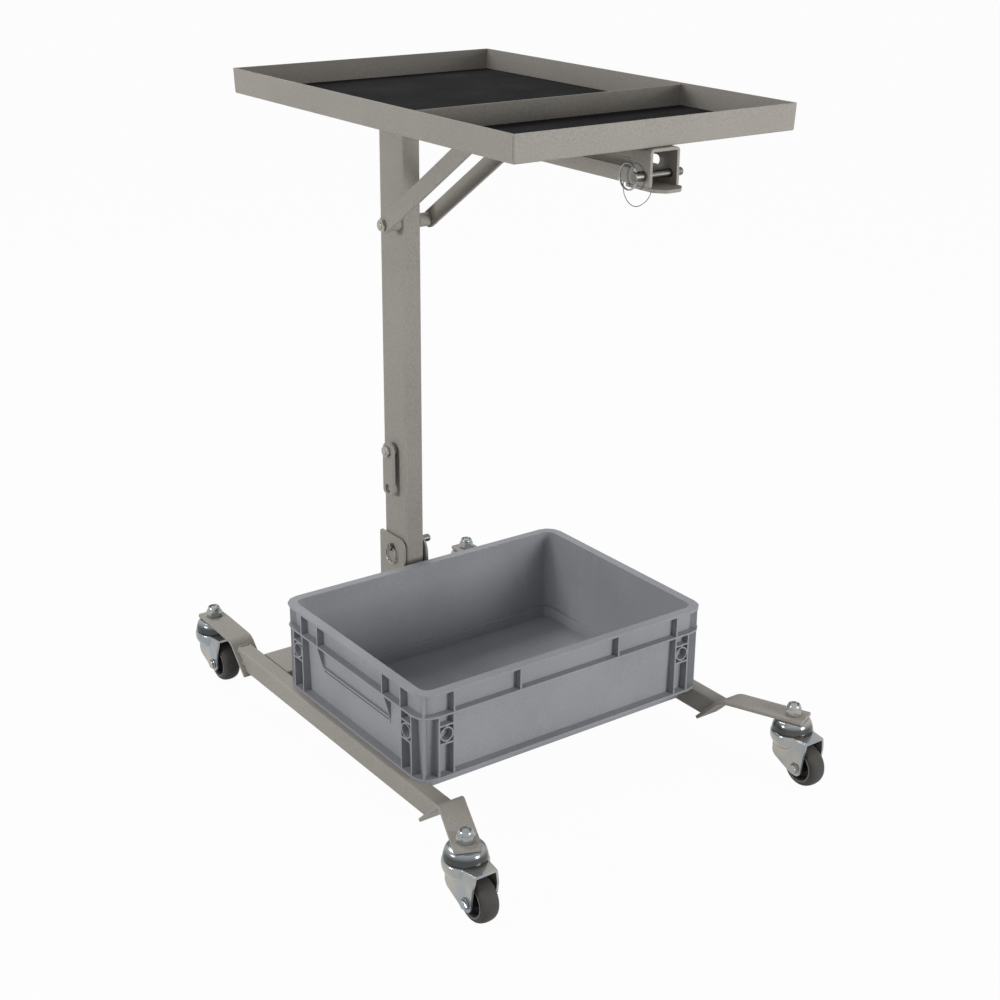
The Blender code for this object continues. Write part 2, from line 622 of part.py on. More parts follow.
def caster(name, pivot, swivel, spin):
    """One swivel caster: nut, raceway cup with its stem, fork, axle bolt, hub and tyre."""
    x, y = pivot
    here = Matrix.Translation((x, y, 0))
    stem_top = STRIP_TOP_Z + SEAT_GAP + STEM_NUT_H + STEM_COLLAR_H + STEM_STICK_OUT
    flange_top = FORK_TOP_Z - FORK_T - RUN_GAP
    flange_h = FORK_CLEARANCE / 2 - RUN_GAP
    cup = turned(f"{name}_swivel_cup", [
        (0, stem_top), (STEM_D / 2, stem_top), (STEM_D / 2, CUP_TOP_Z), (CUP_R * 0.62, CUP_TOP_Z),
        (CUP_R * 0.84, CUP_TOP_Z - CUP_H * 0.12), (CUP_R * 0.96, CUP_TOP_Z - CUP_H * 0.38),
        (CUP_R, CUP_TOP_Z - CUP_H * 0.68), (CUP_R, CUP_BOTTOM_Z), (KINGPIN_R, CUP_BOTTOM_Z),
        (KINGPIN_R, flange_top), (KINGPIN_R * 1.8, flange_top), (KINGPIN_R * 1.8, flange_top - flange_h),
        (0, flange_top - flange_h)])
    cup.matrix_world = here
    keep(cup, f"{name}_swivel_cup", ZINC)

    nut_foot = STRIP_TOP_Z + SEAT_GAP
    nut = rod("Z", nut_foot, nut_foot + STEM_NUT_H, pivot, STEM_NUT_AF / math.cos(math.pi / 6), sides=6)
    collar_top = nut_foot + STEM_NUT_H + STEM_COLLAR_H
    collar = rod("Z", nut_foot + STEM_NUT_H / 2, collar_top, pivot, STEM_NUT_AF * 0.86, SMALL_SIDES)
    bore = rod("Z", nut_foot - STRIP_T, stem_top + STRIP_T, pivot, STEM_D + 2 * PIN_GAP, SMALL_SIDES)
    keep(cut(fuse(nut, collar), bore), f"{name}_stem_nut", ZINC)

    axle_y = y - CASTER_TRAIL
    axle_z = WHEEL_D / 2
    cheek_in = WHEEL_W / 2 + FORK_SIDE_GAP
    cheek_out = cheek_in + FORK_T
    chord = math.sqrt(FORK_R ** 2 - cheek_out ** 2)
    sweep = math.degrees(math.atan2(chord, cheek_out))
    crown = arc((x, y), FORK_R, -sweep, 180 + sweep, 4 * CORNER_STEPS)
    crown = [point for point in crown if point[1] > y - chord * 0.5]
    shoulder = y - chord
    hood = [(x - cheek_out, shoulder), (x - cheek_out, y - FORK_HOOD),
            (x + cheek_out, y - FORK_HOOD), (x + cheek_out, shoulder)]
    fork = extruded([crown + hood], FORK_TOP_Z - FORK_T, FORK_TOP_Z)
    boss = arc((axle_y, axle_z), FORK_BOSS_R, 190, 295)
    top = FORK_TOP_Z - FORK_T / 2
    nose = y - FORK_HOOD + SEAT_GAP
    cheek = [(nose, top), (nose, FORK_TOP_Z - 3 * FORK_T)] + boss + [
        (y + chord * 0.55, axle_z + FORK_BOSS_R * 0.3), (y + chord * 0.65, axle_z + FORK_BOSS_R), (y + chord * 0.7, top)]
    for side in (-1, 1):
        low, high = sorted((side * cheek_in, side * (cheek_out - SEAT_GAP)))
        fuse(fork, extruded([cheek], x + low, x + high, SIDEWAYS))
    axle_hole = rod("X", x - FORK_R, x + FORK_R, (axle_y, axle_z), AXLE_D + 2 * PIN_GAP, SMALL_SIDES)
    kingpin_hole = rod("Z", axle_z, STRIP_BOTTOM_Z, pivot, 2 * (KINGPIN_R + RUN_GAP), SMALL_SIDES)
    keep(cut(fork, axle_hole, kingpin_hole), f"{name}_fork", ZINC, swivel)

    axle_end = cheek_out + SEAT_GAP
    head = AXLE_D * 0.6
    axle = rod("X", x - axle_end - head / 2, x + axle_end + head / 2, (axle_y, axle_z), AXLE_D, SMALL_SIDES)
    fuse(axle, hexagon(x - axle_end - head, x - axle_end, (axle_y, axle_z), AXLE_D * 1.65))
    fuse(axle, hexagon(x + axle_end, x + axle_end + head, (axle_y, axle_z), AXLE_D * 1.65))
    keep(axle, f"{name}_axle_bolt", ZINC, swivel)

    wheel_place = Matrix.Translation((x, axle_y, axle_z)) @ Matrix.Rotation(math.pi / 2, 4, "Y")
    bore_r = AXLE_D / 2 + PIN_GAP
    core_r = WHEEL_D / 2 - TYRE_T
    half = WHEEL_W / 2
    boss_half = half + FORK_SIDE_GAP - RUN_GAP
    hub = turned(f"{name}_hub", [
        (core_r, half * 0.82), (core_r, -half * 0.82), (core_r * 0.86, -half * 0.82),
        (core_r * 0.78, -half * 0.5), (bore_r * 2.2, -half * 0.5), (bore_r * 2.0, -boss_half),
        (bore_r, -boss_half), (bore_r, boss_half), (bore_r * 2.0, boss_half),
        (bore_r * 2.2, half * 0.5), (core_r * 0.78, half * 0.5), (core_r * 0.86, half * 0.82)],
        closed=True, steps=HUB_SIDES)
    hub.matrix_world = wheel_place
    keep(hub, f"{name}_hub", HUB_PLASTIC, spin)
    tyre_in = core_r + SEAT_GAP
    tyre_r = WHEEL_D / 2
    wall_r = tyre_r - TYRE_T * 0.45
    shoulder_r = tyre_r - TYRE_T * 0.12
    tyre = turned(f"{name}_tyre", [
        (tyre_in, half * 0.9), (wall_r, half), (shoulder_r, half * 0.8), (tyre_r, half * 0.45),
        (tyre_r, -half * 0.45), (shoulder_r, -half * 0.8), (wall_r, -half), (tyre_in, -half * 0.9)],
        closed=True, steps=TYRE_SIDES)
    tyre.matrix_world = wheel_place
    keep(tyre, f"{name}_tyre", TYRE_RUBBER, spin)


def casters():
    """Two splayed casters in front and two in line with the rails behind."""
    places = {
        "front_left": (-FRONT_TRACK / 2, FRONT_PIVOT_Y),
        "front_right": (FRONT_TRACK / 2, FRONT_PIVOT_Y),
        "rear_left": (-RAIL_X, REAR_PIVOT_Y),
        "rear_right": (RAIL_X, REAR_PIVOT_Y)}
    for name, (x, y) in places.items():
        swivel = axis_empty(f"{name}_swivel_axis", (x, y, STRIP_BOTTOM_Z))
        spin = axis_empty(f"{name}_wheel_axis", (x, y - CASTER_TRAIL, WHEEL_D / 2), swivel)
        caster(name, (x, y), swivel, spin)


# Storage box


def box_slab(half_x, half_y, radius, low, high, draft=0.0):
    """A rounded slab centred on the box; draft narrows its foot on every side."""
    outline = rectangle((-half_x, BOX_Y - half_y), (half_x, BOX_Y + half_y), radius)
    made = extruded([outline], low, high)
    if draft:
        middle = Vector((0, BOX_Y, 0))
        for vertex in made.data.vertices:
            if vertex.co.z < (low + high) / 2:
                offset = vertex.co - middle
                vertex.co.x -= math.copysign(draft, offset.x)
                vertex.co.y -= math.copysign(draft, offset.y)
    return made


def box_ribs():
    """Ribs of the rim band, the corner columns and the round cells in the columns."""
    ribs = []
    wall_x = BOX_L / 2 - BOX_RIM_OUT - BOX_WALL
    wall_y = BOX_W / 2 - BOX_RIM_OUT - BOX_WALL
    rim = BOX_RIM_Z - BOX_RIM_T / 2
    band = BOX_BAND_Z + BOX_FLANGE_T / 2
    lip = BOX_LIP_Z + BOX_LIP_T / 2
    band_x = BOX_L / 2 - BOX_BAND_INSET - BOX_RIB_SETBACK
    band_y = BOX_W / 2 - BOX_BAND_INSET - BOX_RIB_SETBACK
    column_x = BOX_L / 2 - BOX_LIP_INSET - BOX_RIB_SETBACK
    column_y = BOX_W / 2 - BOX_LIP_INSET - BOX_RIB_SETBACK
    inner_x = wall_x - BOX_DRAFT
    inner_y = wall_y - BOX_DRAFT
    half = BOX_RIB_T / 2
    cell_top = BOX_BAND_Z - BOX_CELL_DROP
    cell_bottom = cell_top - BOX_CELL_H
    cell_mid = (cell_top + cell_bottom) / 2

    def long_rib(x, out_y, inside_y, low, high, end):
        low_y, high_y = sorted((end * inside_y, end * out_y))
        ribs.append(block((x - half, BOX_Y + low_y, low), (x + half, BOX_Y + high_y, high)))

    def short_rib(y, out_x, inside_x, low, high, end):
        low_x, high_x = sorted((end * inside_x, end * out_x))
        ribs.append(block((low_x, BOX_Y + y - half, low), (high_x, BOX_Y + y + half, high)))

    def cell(axis, centre, width, outer, inside, end):
        """Two shelves between a column's ribs, with a short tube that a stub holds above and below."""
        low, high = sorted((end * inside, end * outer))
        for z in (cell_top, cell_bottom):
            edges = (centre - width / 2, centre + width / 2)
            if axis == "Y":
                ribs.append(block((edges[0], BOX_Y + low, z - half), (edges[1], BOX_Y + high, z + half)))
            else:
                ribs.append(block((low, BOX_Y + edges[0], z - half), (high, BOX_Y + edges[1], z + half)))
        radius = min(width, BOX_CELL_H) / 2 - BOX_RIB_T / 4
        last = 360 - 360 / CELL_SIDES
        loops = [arc((0, 0), size, 0, last, CELL_SIDES - 1) for size in (radius, radius - BOX_RING_WALL)]
        if axis == "Y":
            ring = extruded(loops, -BOX_Y - high, -BOX_Y - low, ENDWAYS)
            ring.data.transform(Matrix.Translation((centre, 0, cell_mid)))
        else:
            ring = extruded(loops, low, high, SIDEWAYS)
            ring.data.transform(Matrix.Translation((0, BOX_Y + centre, cell_mid)))
        ribs.append(ring)
        thin = BOX_RING_WALL / 2
        for foot, head in ((cell_bottom, cell_mid - radius + thin), (cell_mid + radius - thin, cell_top)):
            if axis == "Y":
                ribs.append(block((centre - thin, BOX_Y + low, foot), (centre + thin, BOX_Y + high, head)))
            else:
                ribs.append(block((low, BOX_Y + centre - thin, foot), (high, BOX_Y + centre + thin, head)))

    def corner_rib(hand, end):
        """The upright rib on the diagonal of one rounded corner."""
        reach = BOX_CORNER_R - BOX_LIP_INSET - BOX_RIB_SETBACK
        made = block((-half, reach - BOX_RIM_OUT - BOX_WALL - BOX_DRAFT, lip), (half, reach, rim))
        place = Matrix.Translation((hand * (BOX_L / 2 - BOX_CORNER_R), BOX_Y + end * (BOX_W / 2 - BOX_CORNER_R), 0))
        made.data.transform(place @ Matrix.Rotation(math.atan2(-hand, end), 4, "Z"))
        ribs.append(made)

    for end in (-1, 1):
        for hand in (-1, 1):
            for x in BOX_LONG_BAND_RIBS:
                long_rib(hand * x, band_y, inner_y, band, rim, end)
            for y in BOX_SHORT_BAND_RIBS:
                short_rib(hand * y, band_x, inner_x, band, rim, end)
            for x in BOX_LONG_COLUMN:
                long_rib(hand * x, column_y, inner_y, lip, band, end)
            for y in BOX_SHORT_COLUMN:
                short_rib(hand * y, column_x, inner_x, lip, band, end)
            near, far = BOX_LONG_COLUMN
            cell("Y", hand * (near + far) / 2, far - near, column_y, inner_y, end)
            near, far = BOX_SHORT_COLUMN
            cell("X", hand * (near + far) / 2, far - near, column_x, inner_x, end)
            corner_rib(hand, end)
    return ribs


def grip_wedge(end, depth, top, height, length, rise=0.0):
    """The sloping scoop under the rim band of one short side; rise slopes its roof up to the wall."""
    wall = BOX_L / 2 - BOX_RIM_OUT
    outside = BOX_RIM_OUT + BOX_WALL
    profile = [(end * (wall - depth), top), (end * (wall + outside), top + rise * (depth + outside) / depth),
               (end * (wall + outside), BOX_BAND_Z - height), (end * (wall - BOX_DRAFT), BOX_BAND_Z - height)]
    return extruded([profile], -BOX_Y - length / 2, -BOX_Y + length / 2, ENDWAYS)


def storage_box():
    """Stacking container with a ribbed rim band, corner columns, a base lip and two scooped grips."""
    wall_x = BOX_L / 2 - BOX_RIM_OUT
    wall_y = BOX_W / 2 - BOX_RIM_OUT
    wall_r = BOX_CORNER_R - BOX_RIM_OUT
    made = box_slab(wall_x, wall_y, wall_r, BOX_LIP_Z + BOX_LIP_T / 2, BOX_RIM_Z - BOX_RIM_T / 2, BOX_DRAFT)
    step_x = BOX_L / 2 - BOX_STEP_INSET
    step_y = BOX_W / 2 - BOX_STEP_INSET
    step_r = BOX_CORNER_R / 2
    lip_x = BOX_L / 2 - BOX_LIP_INSET
    lip_y = BOX_W / 2 - BOX_LIP_INSET
    band_x = BOX_L / 2 - BOX_BAND_INSET
    band_y = BOX_W / 2 - BOX_BAND_INSET
    plates = [
        box_slab(BOX_L / 2, BOX_W / 2, BOX_CORNER_R, BOX_RIM_Z - BOX_RIM_T, BOX_RIM_Z),
        box_slab(band_x, band_y, BOX_CORNER_R - BOX_BAND_INSET, BOX_BAND_Z, BOX_BAND_Z + BOX_FLANGE_T),
        box_slab(lip_x, lip_y, BOX_CORNER_R - BOX_LIP_INSET, BOX_LIP_Z, BOX_LIP_Z + BOX_LIP_T),
        box_slab(step_x, step_y, step_r, BOX_BASE_Z, BOX_LIP_Z + BOX_LIP_T / 2)]
    fuse_group(made, "box_plates_and_ribs", plates + box_ribs())
    cavity = box_slab(
        wall_x - BOX_WALL, wall_y - BOX_WALL, wall_r - BOX_WALL / 2,
        BOX_LIP_Z + BOX_LIP_T, BOX_RIM_Z + BOX_RIM_T, BOX_DRAFT)
    well = box_slab(
        step_x - BOX_WALL, step_y - BOX_WALL, step_r - BOX_WALL,
        BOX_BASE_Z + BOX_FLOOR, BOX_LIP_Z + 2 * BOX_LIP_T)
    cut(made, cavity, well)
    for end in (-1, 1):
        bump = grip_wedge(
            end, GRIP_DEPTH + BOX_WALL, BOX_BAND_Z + BOX_WALL, GRIP_H + BOX_WALL, GRIP_LENGTH + 2 * BOX_WALL,
            GRIP_ROOF_RISE)
        trim = block(
            (min(end * (wall_x - BOX_WALL / 2), end * BOX_L), BOX_Y - BOX_W, BOX_BASE_Z),
            (max(end * (wall_x - BOX_WALL / 2), end * BOX_L), BOX_Y + BOX_W, BOX_RIM_Z))
        fuse(made, cut(bump, trim))
        cut(made, grip_wedge(end, GRIP_DEPTH, BOX_BAND_Z - SEAT_GAP, GRIP_H, GRIP_LENGTH))
    keep(made, "storage_box", BOX_PLASTIC, axis_empty("box_lift_axis", (0, BOX_Y, BOX_BASE_Z)))


# Mast, braces and link


def bolt(left, right, across, diameter):
    """A hexagon-headed bolt along X; the head's face is at left, and the shank ends at right."""
    made = rod("X", left - BOLT_HEAD_H / 2, right, across, diameter, SMALL_SIDES)
    return fuse(made, hexagon(left - BOLT_HEAD_H, left, across, BOLT_HEAD_AF))


def hex_nut(start, across, diameter):
    """A hexagon nut along X on a bolt of the given diameter."""
    made = hexagon(start, start + BOLT_NUT_H, across, BOLT_HEAD_AF)
    bore = rod("X", start - BOLT_NUT_H, start + 2 * BOLT_NUT_H, across, diameter + 2 * PIN_GAP, SMALL_SIDES)
    return cut(made, bore)


def mast(mast_axis):
    """Rectangular tube with a welded head that carries the tray's hinge barrel."""
    outer = rectangle((-MAST_W / 2, MAST_FRONT_Y), (MAST_W / 2, MAST_BACK_Y), MAST_CORNER_R)
    bore_x = MAST_W / 2 - MAST_WALL
    inner = rectangle(
        (-bore_x, MAST_FRONT_Y + MAST_WALL), (bore_x, MAST_BACK_Y - MAST_WALL), MAST_CORNER_R - MAST_WALL)
    tube = extruded([outer, inner], MAST_FOOT_Z, MAST_TOP_Z)
    holes = [((MAST_Y, FOLD_PIN_Z), FOLD_PIN_D), ((BRACE_PIVOT_Y, BRACE_PIVOT_Z), BOLT_D), ((LINK_Y, LINK_PIVOT_Z), BOLT_D)]
    for place, diameter in holes:
        cut(tube, rod("X", -MAST_W, MAST_W, place, diameter + 2 * PIN_GAP, SMALL_SIDES))
    keep(tube, "mast_tube", PAINT, mast_axis)

    head = block((-MAST_W / 2, MAST_FRONT_Y, HEAD_TOP_Z - HEAD_T), (MAST_W / 2, MAST_BACK_Y, HEAD_TOP_Z))
    barrel = rod("X", -MAST_W / 2 + SEAT_GAP, MAST_W / 2 - SEAT_GAP, (HINGE_Y, HINGE_Z), 2 * BARREL_R)
    bore = rod("X", -MAST_W, MAST_W, (HINGE_Y, HINGE_Z), HINGE_BOLT_D + 2 * PIN_GAP)
    keep(cut(fuse(head, barrel), bore), "mast_head", PAINT, mast_axis)


def pull_pin(name, left, right, across, diameter, head_d, head_end, hole_axis, parent):
    """A plain pin with a drilled head for its pull ring; gives back the hole's place along X."""
    y, z = across
    shank = rod("X", head_end - PIN_TIP, right - PIN_TIP, across, diameter)
    head = rod("X", left, head_end, across, head_d)
    tip = rod("X", right - 2 * PIN_TIP, right, across, diameter - 2 * PIN_TIP)
    hole_x = left + RING_HOLE_D / 2 + PIN_TIP / 2
    if hole_axis == "Y":
        hole = rod("Y", y - head_d, y + head_d, (hole_x, z - RING_HOLE_DROP), RING_HOLE_D, SMALL_SIDES)
    else:
        hole = rod("Z", z - head_d, z + head_d, (hole_x, y), RING_HOLE_D, SMALL_SIDES)
    keep(cut(fuse(shank, head, tip), hole), name, STEEL, parent)
    return hole_x


def fold_pin():
    """The pin that the mast folds on, with its ring hanging in a cross hole."""
    pin_axis = axis_empty("fold_pin_axis", (FOLD_PIN_LEFT_X, MAST_Y, FOLD_PIN_Z))
    hole_x = pull_pin(
        "fold_pin", FOLD_PIN_LEFT_X, FOLD_PIN_RIGHT_X, (MAST_Y, FOLD_PIN_Z), FOLD_PIN_D, FOLD_PIN_D,
        -BRACKET_OUT_X - SEAT_GAP, "Y", pin_axis)
    ring_axis = axis_empty("fold_ring_axis", (hole_x, MAST_Y, FOLD_PIN_Z - RING_HOLE_DROP), pin_axis)
    ring = wire_ring((hole_x, MAST_Y, FOLD_PIN_Z + RING_HOLE_DROP - FOLD_RING_R), FOLD_RING_R)
    keep(ring, "fold_pin_ring", STEEL, ring_axis)


def braces(mast_axis):
    """Two flat stays, their spacers, and the bolt through the mast that they swing on."""
    brace_axis = axis_empty("brace_axis", (0, BRACE_PIVOT_Y, BRACE_PIVOT_Z), mast_axis)
    low = Vector((BRACE_PIVOT_Y, BRACE_PIVOT_Z))
    high = Vector((SLIDE_PIN_Y, SLOT_Z))
    lean = math.degrees(math.atan2(high.y - low.y, high.x - low.x))
    outline = arc(tuple(high), BRACE_W / 2, lean - 90, lean + 90) + arc(tuple(low), BRACE_W / 2, lean + 90, lean + 270)
    for side, name in ((-1, "left"), (1, "right")):
        inner, outer = sorted((side * BRACE_INNER_X, side * (BRACE_INNER_X + BRACE_T)))
        made = extruded([outline], inner, outer, SIDEWAYS)
        reach = 2 * BRACE_INNER_X
        cut(made, rod("X", -reach, reach, tuple(low), BOLT_D + 2 * PIN_GAP, SMALL_SIDES))
        cut(made, rod("X", -reach, reach, tuple(high), SLIDE_PIN_D + 2 * PIN_GAP, SMALL_SIDES))
        keep(made, f"{name}_brace", PAINT, brace_axis)
        ends = sorted((side * (MAST_W / 2 + SEAT_GAP), side * (BRACE_INNER_X - SEAT_GAP)))
        spacer = rod("X", *ends, tuple(low), SPACER_D)
        cut(spacer, rod("X", -reach, reach, tuple(low), BOLT_D + 2 * PIN_GAP, SMALL_SIDES))
        keep(spacer, f"{name}_brace_spacer", PAINT, mast_axis)
    face = BRACE_INNER_X + BRACE_T + SEAT_GAP
    keep(bolt(-face, face + BOLT_NUT_H + BOLT_END, tuple(low), BOLT_D), "brace_pivot_bolt", ZINC, mast_axis)
    keep(hex_nut(face, tuple(low), BOLT_D), "brace_pivot_nut", ZINC, mast_axis)


def folding_link(mast_axis):
    """Short bar on the mast whose free hole takes the lock pin when the tray hangs folded."""
    pivot = (LINK_Y, LINK_PIVOT_Z)
    free = (LINK_Y, LINK_PIVOT_Z - LINK_CENTRES)
    link_axis = axis_empty("link_axis", (LINK_INNER_X, *pivot), mast_axis)
    foot = free[1] - LINK_END_BELOW + LINK_END_R
    flank = LINK_W / 2 - LINK_END_R
    outline = arc(pivot, LINK_W / 2, 0, 180) + arc((LINK_Y - flank, foot), LINK_END_R, 180, 270) + arc(
        (LINK_Y + flank, foot), LINK_END_R, 270, 360)
    made = extruded([outline], LINK_OUTER_X, LINK_INNER_X, SIDEWAYS)
    cut(made, rod("X", -BRACE_INNER_X, 0, pivot, BOLT_D + 2 * PIN_GAP, SMALL_SIDES))
    cut(made, rod("X", -BRACE_INNER_X, 0, free, LINK_HOLE_D))
    keep(made, "folding_link", PAINT, link_axis)
    stop = MAST_W / 2 + SEAT_GAP
    shank = bolt(LINK_OUTER_X - SEAT_GAP, stop + BOLT_NUT_H / 2, pivot, BOLT_D)
    collar = rod("X", LINK_INNER_X + SEAT_GAP, -stop, pivot, SPACER_D)
    tail = hexagon(stop, stop + BOLT_NUT_H, pivot, BOLT_HEAD_AF)
    keep(fuse(shank, collar, tail), "link_bolt", ZINC, mast_axis)


# Tray


def tray(tray_axis):
    """Folded sheet tray with a divider and two rubber mats."""
    half = TRAY_W / 2
    foot = half - TRAY_FLARE
    floor = flat_area(rectangle((-foot, TRAY_FRONT_Y + TRAY_FLARE), (foot, TRAY_REAR_Y - TRAY_FLARE)), TRAY_BOTTOM_Z)
    rim = flat_area(rectangle((-half, TRAY_FRONT_Y), (half, TRAY_REAR_Y)), TRAY_RIM_Z)
    faces = [floor[::-1]] + [[floor[i], floor[(i + 1) % 4], rim[(i + 1) % 4], rim[i]] for i in range(4)]
    keep(bent_sheet(faces, TRAY_T), "tray_pan", PAINT, tray_axis)

    inner = half - TRAY_FLARE - TRAY_T - SEAT_GAP
    seat = TRAY_FLOOR_Z + SEAT_GAP
    front_face = DIVIDER_Y - DIVIDER_T / 2
    rear_face = DIVIDER_Y + DIVIDER_T / 2
    divider = block((-inner, front_face, seat), (inner, rear_face, TRAY_RIM_Z - DIVIDER_BELOW_RIM))
    keep(divider, "tray_divider", PAINT, tray_axis)
    wall = TRAY_FLARE + TRAY_T + MAT_MARGIN
    spans = {
        "front_mat": (TRAY_FRONT_Y + wall, front_face - MAT_MARGIN),
        "rear_mat": (rear_face + MAT_MARGIN, TRAY_REAR_Y - wall)}
    for name, (low_y, high_y) in spans.items():
        outline = rectangle((-half + wall, low_y), (half - wall, high_y), MAT_T)
        keep(extruded([outline], seat, seat + MAT_T), name, MAT_RUBBER, tray_axis)


def channel(tray_axis):
    """Folded channel under the tray with a long slot in each wall, hinge ears and a front tab."""
    out = CHANNEL_W / 2
    inn = out - CHANNEL_T
    web = CHANNEL_TOP_Z - CHANNEL_T
    inner_r = CHANNEL_CORNER_R - CHANNEL_T
    profile = rounded(
        [(-out, CHANNEL_BOTTOM_Z), (-inn, CHANNEL_BOTTOM_Z), (-inn, web), (inn, web),
         (inn, CHANNEL_BOTTOM_Z), (out, CHANNEL_BOTTOM_Z), (out, CHANNEL_TOP_Z), (-out, CHANNEL_TOP_Z)],
        [0, 0, inner_r, inner_r, 0, 0, CHANNEL_CORNER_R, CHANNEL_CORNER_R])
    made = extruded([profile], -CHANNEL_REAR_Y, -CHANNEL_FRONT_Y, ENDWAYS)
    neck = (CHANNEL_BOTTOM_Z + SLOT_Z) / 2
    ear = [(HINGE_Y + HINGE_EAR_R, neck), (HINGE_Y - HINGE_EAR_R, neck)] + arc((HINGE_Y, HINGE_Z), HINGE_EAR_R, 180, 360)
    skin = SEAT_GAP / 3
    for side in (-1, 1):
        fuse(made, extruded([ear], *sorted((side * (inn + skin), side * (out - skin))), SIDEWAYS))
    slot = arc((SLOT_REAR_Y, SLOT_Z), SLOT_H / 2, -90, 90) + arc((SLOT_FRONT_Y, SLOT_Z), SLOT_H / 2, 90, 270)
    cut(made, extruded([slot], -CHANNEL_W, CHANNEL_W, SIDEWAYS))
    cut(made, rod("X", -CHANNEL_W, CHANNEL_W, (LOCK_PIN_Y, LOCK_PIN_Z), LOCK_PIN_D + 2 * PIN_GAP))
    cut(made, rod("X", -CHANNEL_W, CHANNEL_W, (HINGE_Y, HINGE_Z), HINGE_BOLT_D + 2 * PIN_GAP))
    keep(made, "tray_channel", PAINT, tray_axis)

    low = CHANNEL_FRONT_Y - TAB_OUT
    high = CHANNEL_FRONT_Y + TAB_IN
    outline = [(-out, high), (-out, low + TAB_CHAMFER), (-out + TAB_CHAMFER, low),
               (out - TAB_CHAMFER, low), (out, low + TAB_CHAMFER), (out, high)]
    plate = rounded(outline, [0, TAB_T, TAB_T, TAB_T, TAB_T, 0], 3)
    keep(extruded([plate], TAB_TOP_Z - TAB_T, TAB_TOP_Z), "channel_front_tab", PAINT, tray_axis)

    across = (HINGE_Y, HINGE_Z)
    face = out + SEAT_GAP
    keep(bolt(-face, face + BOLT_NUT_H + BOLT_END, across, HINGE_BOLT_D), "hinge_bolt", ZINC, tray_axis)
    keep(hex_nut(face, across, HINGE_BOLT_D), "hinge_nut", ZINC, tray_axis)


def keeper_wire(ring_x, tray_axis):
    """Springy wire that loops down from the front tab and hooks behind the lock pin's ring."""
    start_x = -CHANNEL_W / 2 - SEAT_GAP - KEEPER_WIRE_D / 2
    end_x = ring_x + RING_WIRE_D / 2 + SEAT_GAP + KEEPER_WIRE_D / 2
    curve = bpy.data.curves.new("keeper_wire", "CURVE")
    curve.dimensions = "3D"
    curve.bevel_depth = KEEPER_WIRE_D / 2
    curve.bevel_resolution = 1
    curve.use_fill_caps = True
    spline = curve.splines.new("POLY")
    spline.points.add(KEEPER_POINTS - 1)
    loop = arc((LOCK_PIN_Y + KEEPER_BACK, LOCK_PIN_Z - KEEPER_DOWN), KEEPER_R, KEEPER_START, KEEPER_END, KEEPER_POINTS - 1)
    for i, (point, (y, z)) in enumerate(zip(spline.points, loop)):
        run = min(i / (KEEPER_POINTS - 1) / KEEPER_SPREAD, 1)
        point.co = (start_x + (end_x - start_x) * run * run * (3 - 2 * run), y, z, 1)
    wire = bpy.data.objects.new("keeper_wire", curve)
    PARTS.objects.link(wire)
    curve.materials.append(STEEL)
    wire.parent = tray_axis
    wire.matrix_parent_inverse = tray_axis.matrix_world.inverted()


def tray_pins(tray_axis):
    """The sliding cross pin in the slots, and the lock pin with its pull ring and keeper wire."""
    slide_axis = axis_empty("slide_pin_axis", (0, SLIDE_PIN_Y, SLOT_Z), tray_axis)
    ends = BRACE_INNER_X - 2 * SEAT_GAP
    keep(rod("X", -ends, ends, (SLIDE_PIN_Y, SLOT_Z), SLIDE_PIN_D), "brace_slide_pin", STEEL, slide_axis)
    lock_axis = axis_empty("lock_pin_axis", (LOCK_PIN_LEFT_X, LOCK_PIN_Y, LOCK_PIN_Z), tray_axis)
    hole_x = pull_pin(
        "lock_pin", LOCK_PIN_LEFT_X, LOCK_PIN_RIGHT_X, (LOCK_PIN_Y, LOCK_PIN_Z), LOCK_PIN_D, LOCK_PIN_HEAD_D,
        -CHANNEL_W / 2 - SEAT_GAP, "Z", lock_axis)
    ring_axis = axis_empty("lock_ring_axis", (hole_x, LOCK_PIN_Y, LOCK_PIN_Z), lock_axis)
    ring = wire_ring((hole_x, LOCK_PIN_Y + LOCK_RING_BACK, LOCK_PIN_Z - LOCK_RING_DROP), LOCK_RING_R)
    keep(ring, "lock_pin_ring", STEEL, ring_axis)
    keeper_wire(hole_x, tray_axis)


def build():
    """Model every piece of the stand."""
    for side in (-1, 1):
        rail(side)
        front_strip(side)
        rear_strip(side)
    cross_member()
    mast_bracket()
    casters()
    mast_axis = axis_empty("mast_axis", (0, MAST_Y, FOLD_PIN_Z))
    fold_pin()
    mast(mast_axis)
    braces(mast_axis)
    folding_link(mast_axis)
    tray_axis = axis_empty("tray_axis", (0, HINGE_Y, HINGE_Z), mast_axis)
    tray(tray_axis)
    channel(tray_axis)
    tray_pins(tray_axis)
    storage_box()


build()
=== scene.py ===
"""Folding mobile workstand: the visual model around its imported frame, laid out as an add-on.

Metres, +Z up, front towards -Y. Run in Blender, it registers itself and models every piece.
"""
import math

import bmesh
import bpy
from mathutils import Matrix, Vector


